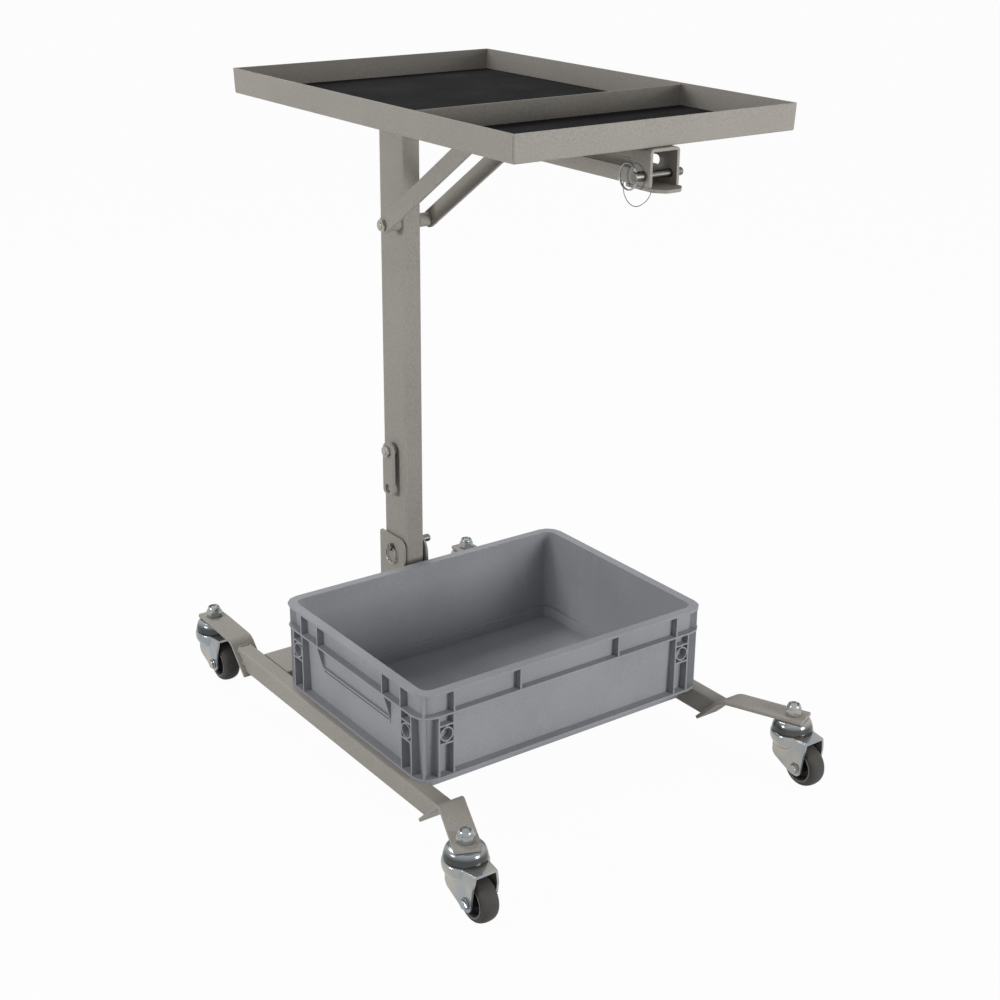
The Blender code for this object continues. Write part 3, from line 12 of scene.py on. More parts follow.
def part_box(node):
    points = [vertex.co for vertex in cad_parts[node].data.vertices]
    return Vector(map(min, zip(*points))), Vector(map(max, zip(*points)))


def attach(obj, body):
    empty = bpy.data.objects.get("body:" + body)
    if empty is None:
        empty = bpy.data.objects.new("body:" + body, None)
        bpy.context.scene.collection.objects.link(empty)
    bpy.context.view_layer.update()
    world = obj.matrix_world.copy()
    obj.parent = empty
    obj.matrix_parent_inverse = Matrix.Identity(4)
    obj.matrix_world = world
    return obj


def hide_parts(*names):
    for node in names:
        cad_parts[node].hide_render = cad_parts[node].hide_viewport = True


bl_info = {
    "name": "Folding mobile workstand",
    "version": (1, 0, 0),
    "blender": (4, 5, 0),
    "location": "View3D > Sidebar > Workstand",
    "description": "Models the folding mobile workstand around its packed frame",
    "category": "Object",
}

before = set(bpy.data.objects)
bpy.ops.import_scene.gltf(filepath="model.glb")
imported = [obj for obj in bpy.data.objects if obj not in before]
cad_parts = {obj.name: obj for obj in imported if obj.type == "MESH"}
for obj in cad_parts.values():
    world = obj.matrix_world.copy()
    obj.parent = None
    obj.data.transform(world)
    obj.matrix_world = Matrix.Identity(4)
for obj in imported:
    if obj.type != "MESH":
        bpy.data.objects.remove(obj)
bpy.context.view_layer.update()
CASTERS = ("front_left", "front_right", "rear_left", "rear_right")
SIDES = ("left", "right")
TINY = 0.00001
PAST = 0.0002  # how far a cutter runs past a face, so that no two faces lie in one plane
TO_LEFT = Matrix.Rotation(-math.pi / 2, 4, "Y")
TO_RIGHT = TO_LEFT.inverted()


def length(name, description, default):
    """A property that holds a length in metres."""
    return bpy.props.FloatProperty(name=name, description=description, default=default, unit="LENGTH", precision=5)


def colour(name, description, default):
    """A property that holds a linear colour."""
    return bpy.props.FloatVectorProperty(
        name=name, description=description, default=default, subtype="COLOR", size=3, min=0, max=1)


class WorkstandSizes(bpy.types.PropertyGroup):
    """Sizes of the pieces where the solids are plainer than the stand."""

    edge: length("Eased edge", "Round on the edges of plates and bars", 0.0005)
    seat: length("Seat", "Gap between pieces that touch", 0.0003)
    tube_round: length("Tube corner", "Round on the long edges of the base tubes", 0.0024)
    tube_wall: length("Tube wall", "Wall of the tubes at their open ends", 0.002)
    mast_round: length("Mast corner", "Round on the mast's long edges", 0.003)
    strip_width: length("Strip width", "Width of the flat bars that carry the casters", 0.030)
    strip_sheet: length("Strip thickness", "Thickness of those bars", 0.004)
    strip_corner: length("Strip corner", "Round at a bar's free corners", 0.002)
    strip_bend: length("Strip bend", "Half width of a bend in those bars", 0.0065)
    bead: length("Weld bead", "Radius of a weld bead", 0.0017)
    cheek_round: length("Cheek round", "Front top corner of the mast bracket's cheeks", 0.012)
    cheek_back: length("Cheek back", "Rear top corner of the cheeks", 0.004)
    cheek_sheet: length("Cheek plate", "Thickness of the bracket's plates", 0.0028)
    cup_radius: length("Cup radius", "Radius of the caster's raceway cup", 0.0235)
    fork_radius: length("Crown radius", "Radius of the fork's crown", 0.025)
    fork_sheet: length("Fork sheet", "Thickness of the pressed fork", 0.0025)
    wheel_radius: length("Wheel radius", "Outer radius of the tyre", 0.025)
    wheel_half: length("Wheel half width", "Half the tyre's width", 0.011)
    tyre_depth: length("Tyre depth", "Depth of the tyre on its core", 0.008)
    trail: length("Trail", "Distance of the axle behind the swivel", 0.0235)
    cheek_gap: length("Cheek gap", "Gap between the tyre and the fork's cheeks", 0.0032)
    hood_half: length("Hood half width", "Half the width of the fork's front edge", 0.0138)
    stem_radius: length("Stem radius", "Radius of the casters' threaded stems", 0.005)
    stem_flats: length("Stem nut flats", "Width of the stem nuts across their flats", 0.0175)
    stem_hexagon: length("Stem nut height", "Height of the stem nut's hexagon", 0.0085)
    bolt_radius: length("Bolt radius", "Radius of the mast's bolts", 0.004)
    nut_flats: length("Nut flats", "Width of the mast's nuts across their flats", 0.013)
    tray_sheet: length("Tray sheet", "Thickness of the tray's sheet", 0.0015)
    tray_flare: length("Tray flare", "How far each wall leans out", 0.001)
    tray_bend: length("Tray bend", "Outer radius of the tray's folds", 0.0016)
    mat_pitch: length("Mat pitch", "Distance between the mat's ribs", 0.003)
    mat_rib: length("Mat rib", "Height of the mat's ribs", 0.0005)
    channel_wall: length("Channel wall", "Thickness of the channel under the tray", 0.003)
    channel_round: length("Channel corner", "Outer radius of the channel's folds", 0.0042)
    slot_height: length("Slot height", "Height of the slots in the channel", 0.0095)
    brace_width: length("Brace width", "Width of the flat braces", 0.020)
    link_width: length("Link width", "Width of the folding link", 0.022)
    link_corner: length("Link corner", "Round at the link's free corners", 0.005)
    link_end: length("Link end", "Length of the link beyond its free hole", 0.0075)
    link_hole: length("Link hole", "Radius of the link's free hole", 0.0056)
    split_wire: length("Split ring wire", "Diameter of the split rings' wire", 0.0015)
    box_wall: length("Box wall", "Wall of the container", 0.0025)
    box_draft: length("Box draft", "How far the walls lean in at their foot", 0.003)
    box_rim: length("Box rim", "How far the rim stands out from the wall", 0.0085)
    box_band: length("Box band", "Depth of the rim band", 0.030)
    grip_share: bpy.props.FloatProperty(
        name="Grip share", description="Depth of the grips' panels beside the solid's", default=0.02)
    grip_half: length("Grip half", "Half the space between a grip's webs", 0.0725)
    grip_height: length("Grip height", "Height of a grip's webs under the band", 0.029)


class WorkstandColours(bpy.types.PropertyGroup):
    """Linear colours of the stand's finishes."""

    paint: colour("Paint", "Silver-grey paint", (0.348, 0.327, 0.296))
    zinc: colour("Zinc", "Bright zinc plating", (0.36, 0.37, 0.37))
    zinc_blue: colour("Zinc, cool", "Cool tint in the plating", (0.28, 0.32, 0.345))
    # Painted reflection: the dark band low on the raceway cups stands in for the dark surroundings mirrored by the
    # plating, not for darker plating.
    cup: colour("Raceway cup", "Dark plating low on the raceway cups", (0.022, 0.0225, 0.020))
    zinc_gold: colour("Zinc, warm", "Warm tint in the plating", (0.44, 0.41, 0.34))
    steel: colour("Pin steel", "Plain steel of the pins", (0.17, 0.165, 0.155))
    box: colour("Container", "Blue-grey polypropylene", (0.318, 0.327, 0.348))
    mat: colour("Mat", "Black rubber lining", (0.012, 0.012, 0.013))
    tyre: colour("Tyre", "Grey rubber", (0.075, 0.070, 0.066))
    # Painted highlight: the lips' paler grey stands in for the light that catches the lip's edge.
    lip: colour("Tyre lip", "Paler ring where the tyre meets its core", (0.17, 0.162, 0.165))
    hub: colour("Hub", "Dark wheel core", (0.022, 0.021, 0.024))
    floor: colour("Floor", "Pale studio floor", (0.50, 0.50, 0.50))


# Modelling


def only(item):
    """Select one object and make it active."""
    bpy.ops.object.select_all(action="DESELECT")
    item.select_set(True)
    bpy.context.view_layer.objects.active = item
    return item


def settle(item, matrix=None):
    """Move an object by a matrix and put its place into its mesh."""
    only(item)
    if matrix is not None:
        item.matrix_world = matrix @ item.matrix_world
    bpy.ops.object.transform_apply(location=True, rotation=True, scale=True)
    return item


def block(low, high):
    """A box between two corners."""
    low, high = Vector(low), Vector(high)
    bpy.ops.object.select_all(action="DESELECT")
    bpy.ops.mesh.primitive_cube_add(size=1, location=(low + high) / 2)
    made = bpy.context.object
    made.scale = high - low
    return settle(made)


def pick(item, kind, test):
    """Go into edit mode with only those vertices, edges or faces selected that pass the test."""
    only(item)
    bpy.ops.object.mode_set(mode="EDIT")
    bpy.ops.mesh.select_mode(type={"verts": "VERT", "edges": "EDGE", "faces": "FACE"}[kind])
    bpy.ops.mesh.select_all(action="DESELECT")
    shape = bmesh.from_edit_mesh(item.data)
    shape.normal_update()
    for part in getattr(shape, kind):
        if test(part):
            part.select_set(True)
    shape.select_flush_mode()
    bmesh.update_edit_mesh(item.data)


def leave():
    """Go back to object mode."""
    bpy.ops.object.mode_set(mode="OBJECT")


def every(_):
    """A test that each vertex, edge or face passes."""
    return True


def corners(node):
    """The two corners of a CAD node's box."""
    return [Vector(corner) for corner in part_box(node)]


def side_middle(node):
    """The middle of a CAD node's box in the YZ plane."""
    low, high = corners(node)
    return (low.y + high.y) / 2, (low.z + high.z) / 2


def stem_place(caster):
    """The swivel axis of a caster, on the floor."""
    low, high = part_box(f"{caster}_stem_nut")
    return Vector(((low[0] + high[0]) / 2, (low[1] + high[1]) / 2, 0))


def middle(part):
    """The middle of an edge or face."""
    return sum((vertex.co for vertex in part.verts), Vector()) / len(part.verts)


def runs(axis, where=lambda place: True):
    """A test for edges along one axis whose middle is in a given place."""
    def test(edge):
        step = edge.verts[1].co - edge.verts[0].co
        return abs(step[axis]) > 0.999 * step.length and where(middle(edge))
    return test


def faces_to(axis, sign):
    """A test for faces that look along one axis."""
    return lambda face: face.normal[axis] * sign > 0.99


def round_edges(item, test, radius, segments=4):
    """Round the chosen edges."""
    pick(item, "edges", test)
    bpy.ops.mesh.bevel(offset=radius, segments=segments, affect="EDGES", clamp_overlap=True)
    leave()
    return item


def round_corners(item, test, radius, segments=6):
    """Round the chosen corners of a flat outline."""
    pick(item, "verts", test)
    bpy.ops.mesh.bevel(offset=radius, segments=segments, affect="VERTICES", clamp_overlap=True)
    bpy.ops.mesh.select_all(action="SELECT")
    bpy.ops.mesh.remove_doubles(threshold=TINY)
    leave()
    return item


def modify(item, kind, **settings):
    """Add a modifier and apply it."""
    only(item)
    step = item.modifiers.new(kind.lower(), kind)
    for key, value in settings.items():
        setattr(step, key, value)
    bpy.ops.object.modifier_apply(modifier=step.name)
    return item


def ease(item, width, segments=2, angle=32):
    """Round every crisp edge a little."""
    return modify(item, "BEVEL", width=width, segments=segments, limit_method="ANGLE",
                  angle_limit=math.radians(angle), use_clamp_overlap=True, miter_outer="MITER_ARC")


def combine(item, operation, others):
    """Run one exact Boolean for each operand, and delete the operands."""
    for other in others:
        modify(item, "BOOLEAN", operation=operation, solver="EXACT", object=other)
        bpy.data.objects.remove(other, do_unlink=True)
    return item


def cut(item, *others):
    """Take the operands away from a piece."""
    return combine(item, "DIFFERENCE", others)


def fuse(item, *others):
    """Weld the operands to a piece."""
    return combine(item, "UNION", others)


def thicken(item, depth):
    """Give a sheet its thickness behind its face."""
    return modify(item, "SOLIDIFY", thickness=depth, offset=-1, use_even_offset=True)


def draw_ends(item, axis, wall, depth):
    """Inset both end faces of a tube by its wall and draw them out, or in where the depth is negative."""
    pick(item, "faces", lambda face: abs(face.normal[axis]) > 0.9)
    bpy.ops.mesh.inset(thickness=wall)
    bpy.ops.mesh.extrude_region_shrink_fatten(TRANSFORM_OT_shrink_fatten={"value": depth})
    leave()
    return item


def bisect(item, place, normal):
    """Cut off what lies beyond a plane and close the cut."""
    pick(item, "faces", every)
    bpy.ops.mesh.bisect(plane_co=place, plane_no=normal, use_fill=True, clear_outer=True, threshold=TINY)
    leave()
    return item


def turned(profile, sides=48):
    """Turn (radius, height) points about Z, from the first ring to the last."""
    bpy.ops.object.select_all(action="DESELECT")
    radius, height = profile[0]
    filled = "NGON" if radius > TINY else "NOTHING"
    radius = max(radius, TINY)
    bpy.ops.mesh.primitive_circle_add(vertices=sides, radius=radius, location=(0, 0, height), fill_type=filled)
    made = bpy.context.object
    settle(made)
    pick(made, "edges", every)
    for wide, tall in profile[1:]:
        wide = max(wide, TINY)
        bpy.ops.mesh.extrude_edges_move(TRANSFORM_OT_translate={"value": (0, 0, tall - height)})
        bpy.ops.transform.resize(value=(wide / radius, wide / radius, 1), center_override=(0, 0, tall))
        radius, height = wide, tall
    if radius > TINY:
        bpy.ops.mesh.edge_face_add()
    bpy.ops.mesh.select_all(action="SELECT")
    bpy.ops.mesh.remove_doubles(threshold=2.5 * TINY)
    bpy.ops.mesh.normals_make_consistent(inside=False)
    leave()
    return made


def ring_of(profile, sides=48):
    """Turn a closed profile, such as a tyre's, about Z."""
    made = turned([*profile, profile[0]], sides)
    pick(made, "faces", lambda face: len(face.verts) == sides)
    bpy.ops.mesh.delete(type="ONLY_FACE")
    bpy.ops.mesh.select_all(action="SELECT")
    bpy.ops.mesh.remove_doubles(threshold=TINY)
    bpy.ops.mesh.normals_make_consistent(inside=False)
    leave()
    return made


def stood(start, run):
    """The matrix that stands a piece made on Z at a point, along a run."""
    return Matrix.Translation(start) @ run.to_track_quat("Z", "Y").to_matrix().to_4x4()


def rod(start, end, radius, sides=32, chamfer=0.0004):
    """A round bar between two points with chamfered ends."""
    start, end = Vector(start), Vector(end)
    run = end - start
    made = turned([(radius - chamfer, 0), (radius, chamfer), (radius, run.length - chamfer),
                   (radius - chamfer, run.length)], sides)
    return settle(made, stood(start, run))


def drill(item, place, radius, sides=24, reach=0.1):
    """Cut a round hole along X at a place in the YZ plane."""
    return cut(item, rod((-reach, *place), (reach, *place), radius, sides))


def flat(width, depth):
    """A rectangle on the floor, with its size still to be settled."""
    bpy.ops.object.select_all(action="DESELECT")
    bpy.ops.mesh.primitive_plane_add(size=1)
    made = bpy.context.object
    made.scale = (width, depth, 1)
    return made


def bar(start, end, width, low_x, high_x, segments=12):
    """A flat bar with round ends that stands in the YZ plane between two points."""
    start, end = Vector((0, *start)), Vector((0, *end))
    run = end - start
    made = settle(flat(run.length + width, width))
    round_corners(made, every, width / 2 * 0.9999, segments)
    pick(made, "faces", every)
    bpy.ops.mesh.extrude_region_move(TRANSFORM_OT_translate={"value": (0, 0, high_x - low_x)})
    bpy.ops.mesh.select_all(action="SELECT")
    bpy.ops.mesh.normals_make_consistent(inside=False)
    leave()
    along = run.normalized()
    sideways = Vector((1, 0, 0))
    turn = Matrix((along, sideways.cross(along), sideways)).transposed().to_4x4()
    place = (start + end) / 2 + sideways * low_x
    return settle(made, Matrix.Translation(place) @ turn)


def wire(points, radius):
    """A round wire along a path of points."""
    bpy.ops.object.select_all(action="DESELECT")
    bpy.ops.curve.primitive_nurbs_path_add()
    made = bpy.context.object
    made.data.splines.clear()
    path = made.data.splines.new("POLY")
    path.points.add(len(points) - 1)
    for point, place in zip(path.points, points):
        point.co = (*place, 1)
    made.data.bevel_depth = radius
    made.data.bevel_resolution = 3
    made.data.use_fill_caps = True
    bpy.ops.object.convert(target="MESH")
    return bpy.context.object


def across_corners(flats):
    """Corner radius of a hexagon of the given width across its flats."""
    return flats / 2 / math.cos(math.pi / 6)


def hexagon(flats, height, outline):
    """A hexagon on Z, chamfered to a turned outline."""
    corner = across_corners(flats)
    return combine(turned([(corner, 0), (corner, height)], 6), "INTERSECT", [turned(outline, 48)])


def nut(flats, height, collar, bore):
    """A lock nut on Z: chamfered hexagon, domed collar and the groove round its thread."""
    wide = across_corners(flats) * 1.02
    made = hexagon(flats, height, [(flats / 2 * 0.95, -PAST), (wide, height * 0.22), (wide, height * 0.76),
                                   (flats / 2 * 0.94, height + PAST)])
    if collar:
        dome, top = flats * 0.455, height + collar
        fuse(made, turned([(dome, height * 0.5), (dome, height + collar * 0.45), (dome * 0.95, height + collar * 0.75),
                           (dome * 0.84, top), (bore, top)], 40))
        height = top
    groove, floor = bore * 1.16, height * 0.86
    return cut(made, turned([(bore, -height), (bore, floor), (groove, floor), (groove, 2 * height)], 32))


def bolt_head(flats, height):
    """A hexagon bolt head on Z with its chamfered top."""
    wide = across_corners(flats) * 1.02
    made = hexagon(flats, height, [(wide, -height), (wide, height * 0.74), (flats / 2 * 0.94, height + PAST)])
    return ease(made, 0.0003)


def bead(start, end, radius):
    """A rippled weld bead between two points."""
    start, end = Vector(start), Vector(end)
    run = end - start
    count = max(4, round(run.length / radius / 0.9))
    crest, dip, tip = radius, radius * 0.84, radius * 0.35
    ripples = [(crest if i % 2 else dip, run.length * i / count) for i in range(1, count)]
    return settle(turned([(tip, 0), *ripples, (tip, run.length)], 14), stood(start, run))


def copied(item, matrix):
    """A copy of a finished mesh with its own data, moved by a matrix."""
    other = item.copy()
    other.data = item.data.copy()
    bpy.context.scene.collection.objects.link(other)
    return settle(other, matrix)


def from_node(node):
    """A merged copy of a CAD node's mesh, for pieces whose solid already has their form."""
    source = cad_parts[node]
    made = source.copy()
    made.data = source.data.copy()
    made.parent = None
    bpy.context.scene.collection.objects.link(made)
    made.matrix_world = Matrix()
    made.data.materials.clear()
    pick(made, "faces", every)
    bpy.ops.mesh.remove_doubles(threshold=TINY)
    bpy.ops.mesh.dissolve_limited(angle_limit=math.radians(1))
    leave()
    return made


def finished(item, name, body, slot, *nodes, angle=36, finish=None):
    """Shade a piece, give it its finish and hang it on the body that it moves with."""
    pick(item, "faces", every)
    bpy.ops.mesh.normals_make_consistent(inside=False)
    leave()
    if not item.data.polygons:
        raise RuntimeError(f"{name} came out empty")
    item.name = name
    item.data.name = name
    item.data.materials.clear()
    item.data.materials.append(bpy.data.materials[f"{finish or slot}_finish"])
    bpy.ops.object.shade_smooth_by_angle(angle=math.radians(angle))
    modify(item, "WEIGHTED_NORMAL", keep_sharp=True)
    if nodes:
        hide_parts(*nodes)
    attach(item, body)
    return item


# Materials


class Value:
    """A socket of a node tree, with arithmetic that adds Math nodes."""

    def __init__(self, nodes, socket):
        self.nodes = nodes
        self.socket = socket

    def maths(self, operation, first, second):
        return self.nodes.node("ShaderNodeMath", {"operation": operation}, {0: first, 1: second})

    def __add__(self, other):
        return self.maths("ADD", self, other)

    def __radd__(self, other):
        return self.maths("ADD", other, self)

    def __mul__(self, other):
        return self.maths("MULTIPLY", self, other)

    def __rmul__(self, other):
        return self.maths("MULTIPLY", other, self)

    def either(self, other):
        return self.maths("MAXIMUM", self, other)


class Nodes:
    """The node tree of a material or of the world."""

    def __init__(self, owner):
        owner.use_nodes = True
        self.tree = owner.node_tree

    def node(self, kind, settings, sockets, output=0):
        """Add any node: its settings first, then the values or links of its sockets."""
        made = self.tree.nodes.new(kind)
        for key, value in settings.items():
            if key == "stops":
                while len(made.color_ramp.elements) < len(value):
                    made.color_ramp.elements.new(1)
                for stop, (position, shade) in zip(made.color_ramp.elements, value):
                    stop.position = position
                    stop.color = (*shade, 1)
            else:
                setattr(made, key, value)
        for key, value in sockets.items():
            if isinstance(value, Value):
                self.tree.links.new(value.socket, made.inputs[key])
            else:
                made.inputs[key].default_value = value
        return Value(self, made.outputs[output])

    def white_when_seen(self, shader, white, share, output):
        """Blend a shader into plain white wherever a camera, mirror or glass sees it straight."""
        camera, glossy, transmission = (
            self.node("ShaderNodeLightPath", {}, {}, f"Is {ray} Ray") for ray in ("Camera", "Glossy", "Transmission"))
        seen = camera.either(glossy.either(transmission)) * share
        mixed = self.node("ShaderNodeMixShader", {}, {"Fac": seen, 1: Value(self, shader.outputs[0]), 2: white})
        self.tree.links.new(mixed.socket, self.tree.nodes[output].inputs["Surface"])


class Surface(Nodes):
    """One procedural material on a Principled shader."""

    def __init__(self, name, base, roughness, metallic=0.0, specular=0.5):
        super().__init__(bpy.data.materials.new(f"{name}_finish"))
        self.shader = self.tree.nodes["Principled BSDF"]
        for key, value in (("Base Color", (*base, 1)), ("Roughness", roughness), ("Metallic", metallic),
                           ("Specular IOR Level", specular)):
            self.shader.inputs[key].default_value = value
        self.base = base
        self.place = self.node("ShaderNodeTexCoord", {}, {}, "Object")

    def noise(self, scale, detail=2.0, stretch=(1, 1, 1)):
        """Noise in object coordinates, with the given number of blobs a metre."""
        place = self.node("ShaderNodeVectorMath", {"operation": "MULTIPLY"}, {0: self.place, 1: stretch})
        return self.node("ShaderNodeTexNoise", {}, {"Vector": place, "Scale": scale, "Detail": detail})

    def fade(self, value, low, high):
        """Bring a value from the range low to high to 0 to 1."""
        return self.node("ShaderNodeMapRange", {}, {"Value": value, "From Min": low, "From Max": high})

    def mix(self, factor, first, second):
        """Blend two colours."""
        first, second = [shade if isinstance(shade, Value) else (*shade, 1) for shade in (first, second)]
        return self.node("ShaderNodeMix", {"data_type": "RGBA"}, {0: factor, 6: first, 7: second}, 2)

    def shade(self, factor):
        """The base colour made darker or lighter by a factor."""
        return tuple(min(channel * factor, 1.0) for channel in self.base)

    def vary(self, factor, dark, light):
        """Let the base colour run from a darker to a lighter shade."""
        return self.mix(factor, self.shade(dark), self.shade(light))

    def feed(self, socket, value):
        """Link a value to one of the shader's sockets."""
        self.tree.links.new(value.socket, self.shader.inputs[socket])

    def bump(self, height, strength, distance):
        """Feed a height to the shader's normal."""
        self.feed("Normal", self.node(
            "ShaderNodeBump", {}, {"Strength": strength, "Distance": distance, "Height": height}))


def make_finishes(colours):
    """Make the stand's materials, one for each slot."""
    paint = Surface("paint", colours.paint, 0.6, specular=0.25)
    cloud = paint.noise(7, 3)
    flake = paint.noise(620, 1)
    tone = paint.fade(cloud * 0.4 + flake * 0.6, 0.36, 0.64)
    paint.feed("Base Color", paint.vary(tone, 0.86, 1.13))
    paint.feed("Roughness", 0.54 + 0.14 * cloud)
    paint.bump(paint.noise(620, 2), 0.10, 0.0004)

    zinc = Surface("zinc", colours.zinc, 0.26, 0.62)
    drift = zinc.noise(34, 3)
    stops = [(0.34, tuple(colours.zinc_blue)), (0.52, tuple(colours.zinc)), (0.68, tuple(colours.zinc_gold))]
    tint = zinc.node("ShaderNodeValToRGB", {"stops": stops}, {"Fac": drift})
    # Painted reflection: zinc from about 61 to 75 mm above the floor, low on the raceway cups, is blended most of the
    # way to the dark cup colour, in place of the dark surroundings the plating would mirror.
    height = zinc.node("ShaderNodeSeparateXYZ", {}, {0: zinc.place}, 2)
    cup = zinc.fade(height, 0.0614, 0.0617) * zinc.fade(height, 0.0745, 0.0690)
    zinc.feed("Base Color", zinc.mix(cup * 0.86, tint, colours.cup))
    zinc.feed("Roughness", 0.10 + 0.16 * zinc.noise(140, 3))
    zinc.bump(zinc.noise(420, 3), 0.08, 0.0003)

    steel = Surface("pin_steel", colours.steel, 0.34, 1.0)
    drawn = steel.noise(260, 3, (0.15, 1, 1))
    steel.feed("Base Color", steel.vary(steel.fade(drawn, 0.3, 0.7), 0.78, 1.12))
    steel.feed("Roughness", 0.24 + 0.22 * drawn)
    steel.bump(drawn, 0.10, 0.0003)

    plastic = Surface("box_plastic", colours.box, 0.48, specular=0.16)
    mottle = plastic.noise(11, 4)
    scuff = plastic.fade(plastic.noise(55, 4, (1, 1, 0.25)), 0.60, 0.78)
    speck = plastic.noise(620, 1)
    body = plastic.vary(plastic.fade(mottle * 0.5 + speck * 0.5, 0.34, 0.66), 0.90, 1.10)
    plastic.feed("Base Color", plastic.mix(scuff * 0.25, body, plastic.shade(1.35)))
    plastic.feed("Roughness", 0.40 + 0.12 * mottle + 0.10 * scuff)
    plastic.bump(plastic.noise(1100, 2), 0.10, 0.0004)

    mat = Surface("mat_rubber", colours.mat, 0.85, specular=0.05)
    grain = mat.noise(900, 2)
    dust = mat.noise(16, 4)
    mat.feed("Base Color", mat.vary(mat.fade(grain * 0.6 + dust * 0.4, 0.42, 0.72), 0.8, 2.6))
    mat.feed("Roughness", 0.76 + 0.20 * grain)
    mat.bump(grain, 0.5, 0.0006)

    tyre = Surface("tyre", colours.tyre, 0.6, specular=0.12)
    worn = tyre.noise(60, 4)
    fine = tyre.noise(700, 2)
    tyre.feed("Base Color", tyre.vary(tyre.fade(worn * 0.7 + fine * 0.3, 0.35, 0.7), 0.85, 1.25))
    tyre.feed("Roughness", 0.50 + 0.2 * worn)
    tyre.bump(fine, 0.15, 0.0004)

    # Painted highlight: the tyre's lips get a paler grey than the tread, in place of the light caught along their
    # edge.
    lip = Surface("tyre_lip", colours.lip, 0.5, specular=0.2)
    lip.feed("Base Color", lip.vary(lip.noise(120, 3), 0.85, 1.15))
    lip.bump(lip.noise(600, 2), 0.1, 0.0003)

    hub = Surface("hub", colours.hub, 0.5, specular=0.15)
    swirl = hub.noise(90, 3)
    hub.feed("Base Color", hub.vary(swirl, 0.7, 1.4))
    hub.feed("Roughness", 0.36 + 0.2 * swirl)
    hub.bump(hub.noise(800, 2), 0.1, 0.0003)


# Base


def make_rails(sizes):
    """Flat tubes along both sides, mitred onto the strips, and the cross tube with its plugs in them."""
    for side in SIDES:
        low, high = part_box(f"{side}_rail")
        made = block(low, high)
        bisect(made, (0, low[1], high[2]), Vector((0, -1, -1)).normalized())
        bisect(made, (0, high[1], high[2]), Vector((0, 1, -1)).normalized())
        reach = 0.9 * (high[2] - low[2])
        round_edges(made, runs(1, lambda place: low[1] + reach < place.y < high[1] - reach), sizes.tube_round, 5)
        ease(made, sizes.edge)
        finished(made, f"{side}_rail_tube", "base", "paint", f"{side}_rail")
    low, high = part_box("rear_cross_member")
    made = block(low, high)
    round_edges(made, runs(0), sizes.tube_round, 5)
    draw_ends(made, 0, sizes.tube_wall, 0.02)
    finished(made, "rear_cross_tube", "base", "paint", "rear_cross_member")


def sloped_sheet(width, foot, top, x):
    """A rectangle that rises from its foot line to its top line, both given as (y, z)."""
    foot, top = Vector((x, *foot)), Vector((x, *top))
    run = top - foot
    made = flat(width, run.length)
    turn = math.atan2(run.z, run.y)
    if run.y < 0:
        turn -= math.pi
    return settle(made, Matrix.Translation((foot + top) / 2) @ Matrix.Rotation(turn, 4, "X"))


def run_on(item, test, step):
    """Extrude the chosen edge by a step."""
    pick(item, "edges", test)
    bpy.ops.mesh.extrude_region_move(TRANSFORM_OT_translate={"value": step})
    leave()


def make_front_strip(sizes, side):
    """A flat bar that rises from the rail's end and runs out, splayed, under its caster."""
    past_stem, tail = 0.016, 0.002
    pivot = stem_place(f"front_{side}")
    rail_low, rail_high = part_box(f"{side}_rail")
    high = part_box(f"front_{side}_caster_strip")[1]
    root = Vector(((rail_low[0] + rail_high[0]) / 2, 0, high[2]))
    drop = high[2] - rail_low[2] + tail
    root.y = high[1] - drop
    along = Vector((pivot.x - root.x, pivot.y - root.y, 0)).normalized()
    tip = pivot + along * past_stem
    tip.z = high[2]
    wide = sizes.strip_width / abs(along.y)

    def near_tip(vertex):
        return (vertex.co - tip).length < sizes.strip_width

    made = sloped_sheet(wide, (root.y + drop, root.z - drop), (root.y, root.z), root.x)
    run_on(made, runs(0, lambda place: place.z > root.z - TINY), tip - root)
    pick(made, "verts", near_tip)
    bpy.ops.transform.rotate(value=-math.atan2(along.x, -along.y), orient_axis="Z", center_override=tip)
    squeeze = sizes.strip_width / wide
    bpy.ops.transform.resize(value=(squeeze, squeeze, 1), center_override=tip)
    leave()
    first, second = [vertex.co for vertex in made.data.vertices if near_tip(vertex)][:2]
    if abs((first - second).dot(along)) > 0.001:
        raise RuntimeError("the strip's end isn't square")
    round_corners(made, near_tip, sizes.strip_corner)
    round_edges(made, runs(0, lambda place: abs(place.y - root.y) < TINY), sizes.strip_bend, 6)
    finish_strip(sizes, made, f"front_{side}")


def make_rear_strip(sizes, side):
    """A flat bar that rises from the rail's end in two steps and runs straight under its caster."""
    tail, step = 0.002, 0.0025
    pivot = stem_place(f"rear_{side}")
    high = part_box(f"rear_{side}_caster_strip")[1]
    top, knee, bend = high[2], pivot.y - 0.017, pivot.y - 0.073
    bend_z = top - step
    foot_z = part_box(f"{side}_rail")[0][2] - tail
    made = sloped_sheet(sizes.strip_width, (bend - (bend_z - foot_z), foot_z), (bend, bend_z), pivot.x)
    run_on(made, runs(0, lambda place: place.z > bend_z - TINY), (0, knee - bend, top - bend_z))
    run_on(made, runs(0, lambda place: place.z > top - TINY), (0, high[1] - knee, 0))
    round_corners(made, lambda vertex: vertex.co.y > high[1] - TINY, sizes.strip_corner)
    for place_y, segments in ((bend, 6), (knee, 4)):
        round_edges(made, runs(0, lambda place: abs(place.y - place_y) < TINY), sizes.strip_bend, segments)
    finish_strip(sizes, made, f"rear_{side}")


def finish_strip(sizes, made, caster):
    """Give a bent strip its thickness, its eased edges and its paint."""
    thicken(made, sizes.strip_sheet)
    ease(made, sizes.edge)
    finished(made, f"{caster}_strip", "base", "paint", f"{caster}_caster_strip")


